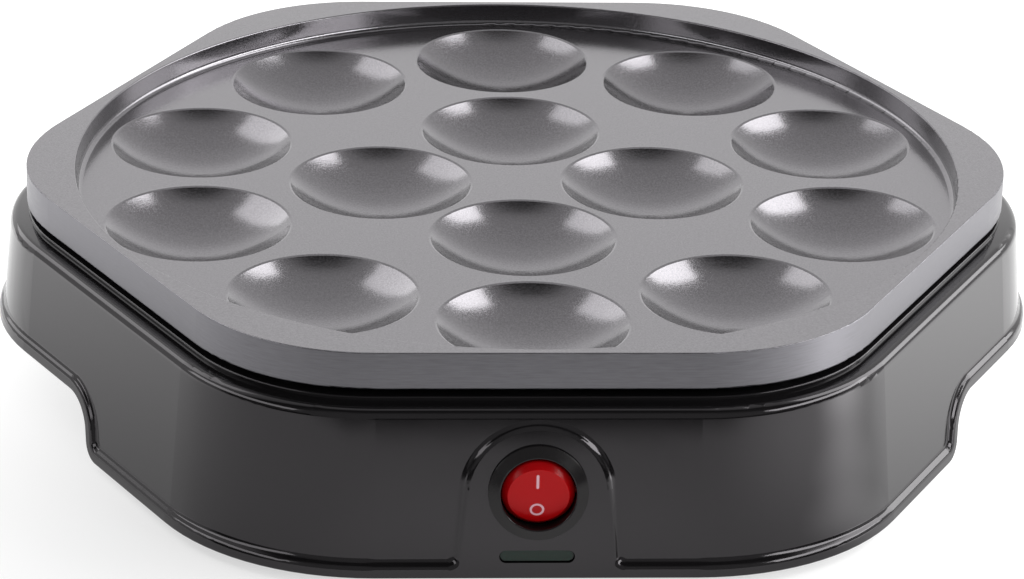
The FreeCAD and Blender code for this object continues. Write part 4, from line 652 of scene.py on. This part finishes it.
    def dress(self, tree: Tree, place: Socket) -> bpy.types.Node:
        """Adds the coat on top, the ground side and the bare underside.

        Args:
            tree: The material's nodes.
            place: Socket with the place in the appliance's frame, in metres.

        Returns:
            The shader's node.
        """
        spot = self.spot(tree, place)
        on_side, bare = self.zones(tree, spot)
        flakes = add_node(tree, "ShaderNodeTexNoise", {
            "Vector": place, "Scale": 1 / (self.flake_mm * MM), "Detail": 2.0}).outputs[0]
        marks = self.grinding(tree, place)
        coat, coat_dull = self.uneven(tree, flakes, self.colour, self.coat_tones,
                                      self.coat_roughness)
        side, side_dull = self.uneven(tree, marks, self.side_colour, self.side_tones,
                                      self.side_roughness)
        worked = add_node(tree, "ShaderNodeMix", {
            0: on_side, COLOUR_A: coat, COLOUR_B: side}, data_type="RGBA")
        colour = add_node(tree, "ShaderNodeMix", {
            0: bare, COLOUR_A: worked.outputs[COLOUR_OUT],
            COLOUR_B: linear(self.bare_colour)}, data_type="RGBA")
        dull = add_node(tree, "ShaderNodeMix", {
            0: on_side, NUMBER_A: coat_dull, NUMBER_B: side_dull})
        relief = add_node(tree, "ShaderNodeMix", {0: on_side, NUMBER_A: flakes, NUMBER_B: marks})
        bump = add_node(tree, "ShaderNodeBump", {
            "Height": relief.outputs[NUMBER_OUT], "Distance": self.flake_depth_mm * MM,
            "Strength": 1.0, "Normal": self.rounded(tree, spot)})
        return add_node(tree, "ShaderNodeBsdfPrincipled", {
            "Base Color": colour.outputs[COLOUR_OUT], "Roughness": dull.outputs[NUMBER_OUT],
            "Metallic": self.metal_share, "Normal": bump.outputs[0]})


@dataclass(frozen=True)
class PaintedLightSheet(Finish):
    """Opal acrylic sheet of a photographer's table, blasted dull, with an even glow and painted
    pools of light.
    """

    # Gives the eye a white ground that takes hardly any shadow and mirrors nothing. Its own glow is
    # even, and painted pools of light are added to it: each has its place on the table to the right
    # and to the back, its reach and its strength. The pools are no lamps but painted light, seen in
    # the appliance's gloss.
    roughness: float = 0.8
    shine: float = 0.0
    glow: float = 0.57
    # Painted pools of light, not lamps: each gives its place to the right, its place to the back,
    # its reach and its strength.
    painted_pools: tuple[tuple[float, float, float, float], ...] = (
        (-0.39, 0.14, 0.40, 1.5),
        (0.34, -0.03, 0.33, 1.7),
        (0.240, -0.117, 0.08, 4.0),
        (0.185, -0.113, 0.05, 1.7),
        (0.140, -0.111, 0.04, 1.4),
        (0.105, -0.109, 0.03, 1.1),
        (0.150, -0.200, 0.11, 0.5),
        (0.0, -0.16, 0.09, 0.25),
        (0.0, 0.62, 0.62, 1.2),
    )

    def dress(self, tree: Tree, place: Socket) -> bpy.types.Node:
        """Adds the sheet's even glow and its painted pools of light, pool by pool.

        Args:
            tree: The material's nodes.
            place: Socket with the place in the appliance's frame, in metres.

        Returns:
            The shader's node.
        """
        # The sheet's glow: an even base with the painted pools of light added to it.
        light = self.glow
        for right, back, reach, strength in self.painted_pools:
            away = add_node(tree, "ShaderNodeVectorMath", {0: place, 1: (right, back, 0.0)},
                            operation="DISTANCE")
            pool = add_node(tree, "ShaderNodeMapRange", {
                "Value": away.outputs["Value"], "From Min": reach, "From Max": 0.0,
                "To Max": strength}, interpolation_type="SMOOTHSTEP")
            light = add_node(tree, "ShaderNodeMath", {0: pool.outputs[0], 1: light}).outputs[0]
        return add_node(tree, "ShaderNodeBsdfPrincipled", {
            "Base Color": self.tone(), "Roughness": self.roughness,
            "Specular IOR Level": self.shine, "Emission Color": linear("#ffffff"),
            "Emission Strength": light})


@dataclass(frozen=True)
class PaintedShadeSheet(Finish):
    """A dark sheet over the table's front edge: painted shade that only reflections see."""

    # Gives the eye only a dark band in the gloss of the front wall, with a soft end: a painted
    # reflection of shade. The sheet ends at this place, front to back, and fades in over this
    # length, in metres.
    edge: float = -0.233
    fade: float = 0.029

    def dress(self, tree: Tree, place: Socket) -> bpy.types.Node:
        """Adds the dark sheet of painted shade and lets it fade out at its edge.

        Args:
            tree: The material's nodes.
            place: Socket with the place in the appliance's frame, in metres.

        Returns:
            The shader's node.
        """
        parts = add_node(tree, "ShaderNodeSeparateXYZ", {"Vector": place})
        share = add_node(tree, "ShaderNodeMapRange", {
            "Value": parts.outputs["Y"], "From Min": self.edge,
            "From Max": self.edge - self.fade}, interpolation_type="SMOOTHSTEP")
        clear = add_node(tree, "ShaderNodeBsdfTransparent")
        # Painted shade: a black sheet that stands for the dark in front of the table.
        shade_bsdf = add_node(tree, "ShaderNodeBsdfDiffuse", {"Color": self.tone()})
        return add_node(tree, "ShaderNodeMixShader", {
            0: share.outputs[0], 1: clear.outputs[0], 2: shade_bsdf.outputs[0]})


# ABS dyed with carbon black and moulded in a mirror-polished tool: a wet-looking near black.
POLISHED_SHELL = PolishedPlastic("Polished black ABS", "#121112", shine=0.39, cast="#fffaff")
# Nylon from a less well polished tool: the same black with a blurred gloss.
POLISHED_SWITCH = PolishedPlastic("Polished black nylon", "#141213", roughness=0.24, ior=1.53,
                                  shine=0.24)
# Polypropylene from a spark-eroded tool: an even, pebbled dark grey that shows no reflections.
GRAINED_COVER = GrainedPlastic("Grained black polypropylene", "#1b1b1c")
# Nylon without dye: a waxy cream, smoother than the cover.
NATURAL_NYLON = GrainedPlastic("Natural nylon", "#d9d6cc", roughness=0.45, depth_mm=0.01)
# Ink pressed on with a soft pad: thin and flat, so the red under it warms its white.
PAD_INK = GrainedPlastic("White pad-printed ink", "#d5a4ae", roughness=0.4, depth_mm=0.004)
# Rubber moulded in a blasted tool: a dull black that picks up dust.
BLACK_RUBBER = MouldedRubber("Black rubber", "#161616")
# Polycarbonate dyed red and moulded clear: the light that enters comes back as a deep warm red.
RED_ROCKER = TintedPolycarbonate("Red polycarbonate", "#a4050a", roughness=0.25, shine=0.1)
# Polycarbonate dyed bottle green: nearly black while the lamp behind it is off.
GREEN_LENS = TintedPolycarbonate("Green polycarbonate", "#12281f", roughness=0.15,
                                 clearness=0.2, shine=0.14)
# Steel plated with zinc in a barrel: pale and a little milky, with worn spots.
ZINC_STEEL = PlatedMetal("Zinc-plated steel", "#c9c9c6")
# Steel tube annealed after filling: brown grey from the furnace's scale.
DARK_TUBE = PlatedMetal("Annealed heater tube", "#6d6a64", roughness=0.45, tarnish="#3d3a36")
# Sheet steel dipped in aluminium and pressed: a flat silver grey.
ALUMINISED = PlatedMetal("Aluminised steel sheet", "#bfc1c3", roughness=0.35, tarnish="#9a9a98")
# Brass strip from a stamping press: yellow and fairly bright, browner where it was handled.
SHEET_BRASS = PlatedMetal("Stamped brass", "#d2a95a", roughness=0.28, tarnish="#8f6f3a")
# Steatite pressed and fired: a warm chalky white.
STEATITE = FiredCeramic("Steatite ceramic", "#dfdace")
# Mineral fibre pressed with a binder: a dry, mottled tan.
MINERAL_FIBRE = FiredCeramic("Pressed mineral fibre", "#a3957f", roughness=0.8)
# Soda glass with a trace of green.
LAMP_GLASS = ClearGlass("Clear lamp glass", "#eaf3ec")
# Grey non-stick coat with metal flakes over cast aluminium.
NON_STICK = CoatedCasting("Non-stick coated casting", "#737174")
# The table under the appliance, only part of the set, with painted pools of light on it.
TABLE_SHEET = PaintedLightSheet("Opal acrylic sheet", "#a8a8a8")
# The dark sheet of painted shade in front of the table, only part of the set.
PAINTED_SHADE_SHEET = PaintedShadeSheet("Painted shade sheet", "#050505")


def dress_node(node: str, finish: Finish) -> None:
    """Gives a carried-over CAD node its finish.

    Args:
        node: Name of the node.
        finish: The finish it gets.
    """
    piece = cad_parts[node]
    for slot in piece.material_slots:
        slot.material = finish.material()
    log.info("%s: %s, %d faces", node, finish.title, len(piece.data.polygons))


def mesh_piece(name: str, points: Sequence[Vector],
               faces: Sequence[Sequence[int]]) -> bpy.types.Object:
    """Makes an object from points in metres, in the frame of the whole appliance.

    Args:
        name: Name of the piece.
        points: Its corners.
        faces: Its faces, as places in the list of corners.

    Returns:
        The new object, linked to the scene.
    """
    mesh = bpy.data.meshes.new(name)
    mesh.from_pydata([tuple(point) for point in points], [], [tuple(face) for face in faces])
    mesh.update()
    piece = bpy.data.objects.new(name, mesh)
    bpy.context.scene.collection.objects.link(piece)
    return piece


@dataclass
class Assembly:
    """A group of the appliance's nodes, each with its finish."""

    finishes: dict[str, Finish]

    def build(self) -> None:
        """Dresses the nodes."""
        for node, finish in self.finishes.items():
            dress_node(node, finish)


@dataclass
class BakingPlate(Assembly):
    """The cast plate with everything that is fixed under it."""

    finishes: dict[str, Finish] = field(default_factory=lambda: {
        "baking_plate": NON_STICK,
        "heating_element": DARK_TUBE,
        "element_terminals": ZINC_STEEL,
        "element_beads": STEATITE,
        "thermostat_cap": ZINC_STEEL,
        "thermostat_body": STEATITE,
        "thermostat_blades": SHEET_BRASS,
        "thermostat_screws": ZINC_STEEL,
        "thermal_fuse": DARK_TUBE,
        "fuse_clip": ZINC_STEEL,
        "fuse_clip_screw": ZINC_STEEL,
        "heat_shield": ALUMINISED,
        "shield_spacers": ZINC_STEEL,
        "shield_screws": ZINC_STEEL,
        "earth_tag": SHEET_BRASS,
        "earth_screw": ZINC_STEEL,
    })


@dataclass
class Base(Assembly):
    """The moulded base: shell, cover, feet, cord outlet and what is fixed inside."""

    finishes: dict[str, Finish] = field(default_factory=lambda: {
        "base_shell": POLISHED_SHELL,
        "bottom_cover": GRAINED_COVER,
        "rubber_feet": BLACK_RUBBER,
        "cover_screws": ZINC_STEEL,
        "plate_screws": ZINC_STEEL,
        "plate_washers": MINERAL_FIBRE,
        "cord_bush": BLACK_RUBBER,
        "cord_clamp": NATURAL_NYLON,
        "clamp_screws": ZINC_STEEL,
        "terminal_block": NATURAL_NYLON,
        "block_sleeves": SHEET_BRASS,
    })


class Legend(Enum):
    """The rocker's marks, each with its place up the rocker in millimetres."""

    BAR_FOR_ON = 3.9
    RING_FOR_OFF = -3.6


@dataclass
class Switch(Assembly):
    """The round rocker switch and the indicator, in the frame of the tilted panel."""

    # The panel's middle and its lean, the rocker's tilt at rest about its pivot, and how far
    # its middle stands proud and its two halves slope, in millimetres and degrees.
    panel_y_mm: float = -118.908
    height_mm: float = 23.3
    panel_tilt: float = 5.61
    rest_tilt: float = 12.0
    pivot_depth_mm: float = 3.0
    rocker_proud_mm: float = 0.9
    rocker_slope: float = 4.0
    mark_shift_mm: float = -0.25
    bar_length_mm: float = 3.6
    bar_width_mm: float = 0.62
    ring_radius_mm: float = 1.42
    ring_width_mm: float = 0.5
    ink_mm: float = 0.04
    loop_points: int = 48
    finishes: dict[str, Finish] = field(default_factory=lambda: {
        "switch_housing": POLISHED_SWITCH,
        "switch_rocker": RED_ROCKER,
        "switch_plunger": NATURAL_NYLON,
        "switch_spring": ZINC_STEEL,
        "contact_blade": SHEET_BRASS,
        "switch_common_terminal": SHEET_BRASS,
        "switch_load_terminal": SHEET_BRASS,
        "indicator_lens": GREEN_LENS,
        "indicator_lamp": LAMP_GLASS,
        "lamp_holder": NATURAL_NYLON,
    })

    def placed(self, x: float, up: float, out: float) -> Vector:
        """Carries a point of the rocker, in millimetres, to its place at rest.

        Args:
            x: To the right.
            up: Up the rocker.
            out: Out of the panel.

        Returns:
            The point in the appliance's frame, in metres.
        """
        tilt = math.radians(self.rest_tilt)
        out += self.pivot_depth_mm
        turned_up = up * math.cos(tilt) - out * math.sin(tilt)
        turned_out = up * math.sin(tilt) + out * math.cos(tilt) - self.pivot_depth_mm
        lean = math.radians(self.panel_tilt)
        y = self.panel_y_mm + turned_up * math.sin(lean) - turned_out * math.cos(lean)
        z = self.height_mm + turned_up * math.cos(lean) + turned_out * math.sin(lean)
        return Vector((x, y, z)) * MM

    def on_face(self, x: float, up: float, rise: float) -> Vector:
        """Carries a point to the rocker's sloping face, raised a little off it.

        Args:
            x: To the right.
            up: Up the rocker.
            rise: Height above the face.

        Returns:
            The point in the appliance's frame, in metres.
        """
        face = self.rocker_proud_mm - abs(up) * math.tan(math.radians(self.rocker_slope))
        return self.placed(x, up, face + rise)

    def strip(self, name: str, inner: Sequence[tuple[float, float]],
              outer: Sequence[tuple[float, float]]) -> bpy.types.Object:
        """Makes a closed printed line between an inner and an outer loop.

        Args:
            name: Name of the piece.
            inner: Places of the inner loop on the face.
            outer: As many places of the outer loop.

        Returns:
            The new piece, a thin closed skin.
        """
        count = len(inner)
        levels = [(loop, rise) for loop in (inner, outer) for rise in (-self.ink_mm, self.ink_mm)]
        points = [self.on_face(x, up, rise) for loop, rise in levels for x, up in loop]
        faces = []
        for index in range(count):
            after = (index + 1) % count
            for first, second in ((0, 1), (1, 3), (3, 2), (2, 0)):
                faces.append((first * count + index, first * count + after,
                              second * count + after, second * count + index))
        piece = mesh_piece(name, points, faces)
        whole = bmesh.new()
        whole.from_mesh(piece.data)
        bmesh.ops.recalc_face_normals(whole, faces=whole.faces)
        whole.to_mesh(piece.data)
        whole.free()
        return piece

    def mark(self, legend: Legend) -> bpy.types.Object:
        """Makes one of the rocker's marks.

        Args:
            legend: Which one.

        Returns:
            The new piece.
        """
        across, up = self.mark_shift_mm, legend.value
        turns = [math.tau * index / self.loop_points for index in range(self.loop_points)]
        circle = [(math.cos(turn), math.sin(turn)) for turn in turns]
        if legend is Legend.RING_FOR_OFF:
            inside = self.ring_radius_mm - self.ring_width_mm / 2
            outside = self.ring_radius_mm + self.ring_width_mm / 2
            inner = [(across + inside * c, up + inside * s) for c, s in circle]
            outer = [(across + outside * c, up + outside * s) for c, s in circle]
            return self.strip("off_mark", inner, outer)
        half = self.bar_width_mm / 2
        reach = self.bar_length_mm / 2 - half
        outer = [(across + half * c, up + half * s + math.copysign(reach, s)) for c, s in circle]
        inner = [(across, up + math.copysign(reach, s)) for _, s in circle]
        return self.strip("on_mark", inner, outer)

    def build(self) -> None:
        """Dresses the switch's nodes and prints the marks on the rocker."""
        super().build()
        for legend in Legend:
            piece = self.mark(legend)
            piece.data.materials.append(PAD_INK.material())
            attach(piece, "rocker")
            log.info("%s: printed on the rocker", piece.name)


@dataclass(frozen=True)
class Softbox:
    """A rectangular white studio light."""

    # Its bearing goes from straight behind the appliance to the right, its rise from the floor
    # up and its roll about the line to what it lights, in degrees. Lengths are in metres.
    name: str
    bearing: float
    rise: float
    width: float
    height: float
    roll: float
    watts: float
    distance: float = 1.3
    aim: tuple[float, float, float] = (0.0, 0.0, 0.04)

    def build(self) -> None:
        """Hangs the light, turns it to what it lights and rolls it about that line."""
        light = bpy.data.lights.new(self.name, "AREA")
        light.shape = "RECTANGLE"
        light.size = self.width
        light.size_y = self.height
        light.energy = self.watts
        lamp = bpy.data.objects.new(self.name, light)
        lamp.visible_camera = False
        bpy.context.scene.collection.objects.link(lamp)
        bearing, rise = math.radians(self.bearing), math.radians(self.rise)
        outward = Vector((math.sin(bearing) * math.cos(rise), math.cos(bearing) * math.cos(rise),
                          math.sin(rise)))
        turn = (-outward).to_track_quat("-Z", "Y").to_matrix()
        lamp.rotation_euler = (turn @ Matrix.Rotation(math.radians(self.roll), 3, "Z")).to_euler()
        lamp.location = Vector(self.aim) + outward * self.distance
        log.info("%s: %g W", self.name, self.watts)


@dataclass
class Studio:
    """Pale floor, soft lights, and the camera at the photograph's angle."""

    # The camera was fitted to the photograph: its place in metres, and which way its right and
    # its top point.
    camera_place: tuple[float, float, float] = (-0.0574, -1.0136, 0.4821)
    camera_right: tuple[float, float, float] = (0.99870, -0.04619, 0.02172)
    camera_up: tuple[float, float, float] = (-0.00060, 0.41489, 0.90989)
    lens_mm: float = 154.954
    sensor_mm: float = 36.0
    # How far the floor and the dark sheet of painted shade reach from the appliance, and that
    # sheet's height, in metres.
    floor_reach: float = 5.0
    shade_sheet_reach: float = 2.6
    shade_sheet_height: float = 0.0004
    # How bright the room is by how far back a direction points, from -1 in front to 1 behind.
    room: tuple[tuple[float, float], ...] = (
        (-0.80, 0.24), (-0.50, 0.03), (-0.24, 0.00), (-0.19, 0.03), (-0.155, 0.20),
        (-0.11, 0.40), (0.0, 0.52), (0.35, 0.60), (0.65, 0.73), (0.90, 1.02))
    room_light: float = 1.4
    lights: tuple[Softbox, ...] = (
        Softbox("left_softbox", bearing=-56.0, rise=35.0, width=0.46, height=1.25,
                roll=-30.0, watts=3.8),
        Softbox("right_softbox", bearing=72.0, rise=35.0, width=0.50, height=1.25,
                roll=30.0, watts=9.2),
        Softbox("left_strip", bearing=-108.0, rise=23.0, width=1.55, height=0.34,
                roll=0.0, watts=5.5),
        Softbox("right_strip", bearing=108.0, rise=23.0, width=1.50, height=0.34,
                roll=0.0, watts=13.0),
    )

    def build_camera(self) -> None:
        """Sets the camera up where the photograph was taken from."""
        data = bpy.data.cameras.new("photo_camera")
        data.lens = self.lens_mm
        data.sensor_width = self.sensor_mm
        camera = bpy.data.objects.new("photo_camera", data)
        bpy.context.scene.collection.objects.link(camera)
        right = Vector(self.camera_right).normalized()
        back = right.cross(Vector(self.camera_up)).normalized()
        up = back.cross(right)
        turn = Matrix((right, up, back)).transposed().to_4x4()
        camera.matrix_world = Matrix.Translation(self.camera_place) @ turn
        bpy.context.scene.camera = camera

    @staticmethod
    def sheet(name: str, side: float, ends: tuple[float, float], level: float,
              finish: Finish) -> bpy.types.Object:
        """Makes a flat sheet, as far to the left as to the right.

        Args:
            name: Name of the sheet.
            side: How far it reaches to each side.
            ends: The places of its front and its back end.
            level: Its height.
            finish: The finish it gets.

        Returns:
            The new sheet.
        """
        front, back = ends
        places = ((-side, front), (side, front), (side, back), (-side, back))
        piece = mesh_piece(name, [Vector((x, y, level)) for x, y in places], [(0, 1, 2, 3)])
        piece.data.materials.append(finish.material())
        return piece

    def build_floor(self) -> None:
        """Lays the table's sheet, and the dark sheet of painted shade that only reflections see in
        front of it.
        """
        floor = self.sheet("floor", self.floor_reach, (-self.floor_reach, self.floor_reach), 0.0,
                           TABLE_SHEET)
        shade_sheet = self.sheet("painted_shade", self.shade_sheet_reach, (-self.shade_sheet_reach, PAINTED_SHADE_SHEET.edge),
                           self.shade_sheet_height, PAINTED_SHADE_SHEET)
        # The sheet of painted shade is seen only in reflections.
        shade_sheet.visible_camera = False
        shade_sheet.visible_diffuse = False
        shade_sheet.visible_shadow = False

    def build_room(self) -> None:
        """Lights the room: pale behind and above, dark towards the camera."""
        world = bpy.data.worlds.new("studio_room")
        world.use_nodes = True
        tree = world.node_tree
        tree.nodes.clear()
        direction = add_node(tree, "ShaderNodeTexCoord").outputs["Generated"]
        parts = add_node(tree, "ShaderNodeSeparateXYZ", {"Vector": direction})
        place = add_node(tree, "ShaderNodeMapRange", {
            "Value": parts.outputs["Y"], "From Min": -1.0})
        steps = add_node(tree, "ShaderNodeValToRGB", {0: place.outputs[0]})
        steps.color_ramp.interpolation = "EASE"
        stops = steps.color_ramp.elements
        stops.remove(stops[1])
        for index, (towards_back, light) in enumerate(self.room):
            stop = stops.new((towards_back + 1) / 2) if index else stops[0]
            stop.position = (towards_back + 1) / 2
            stop.color = (light, light, light, 1.0)
        back = add_node(tree, "ShaderNodeBackground", {
            "Color": steps.outputs[0], "Strength": self.room_light})
        add_node(tree, "ShaderNodeOutputWorld", {"Surface": back.outputs[0]})
        bpy.context.scene.world = world

    def build(self) -> None:
        """Builds the whole set, with colours shown as plain sRGB."""
        bpy.context.scene.view_settings.view_transform = "Standard"
        self.build_camera()
        self.build_floor()
        self.build_room()
        for softbox in self.lights:
            softbox.build()


def main() -> None:
    """Builds the appliance's looks and its set, in order."""
    logging.basicConfig(level=logging.INFO, format="%(message)s")
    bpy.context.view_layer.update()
    Studio().build()
    for assembly in (BakingPlate(), Base(), Switch()):
        assembly.build()
        log.info("%s built", type(assembly).__name__)


if __name__ == "__main__":
    main()
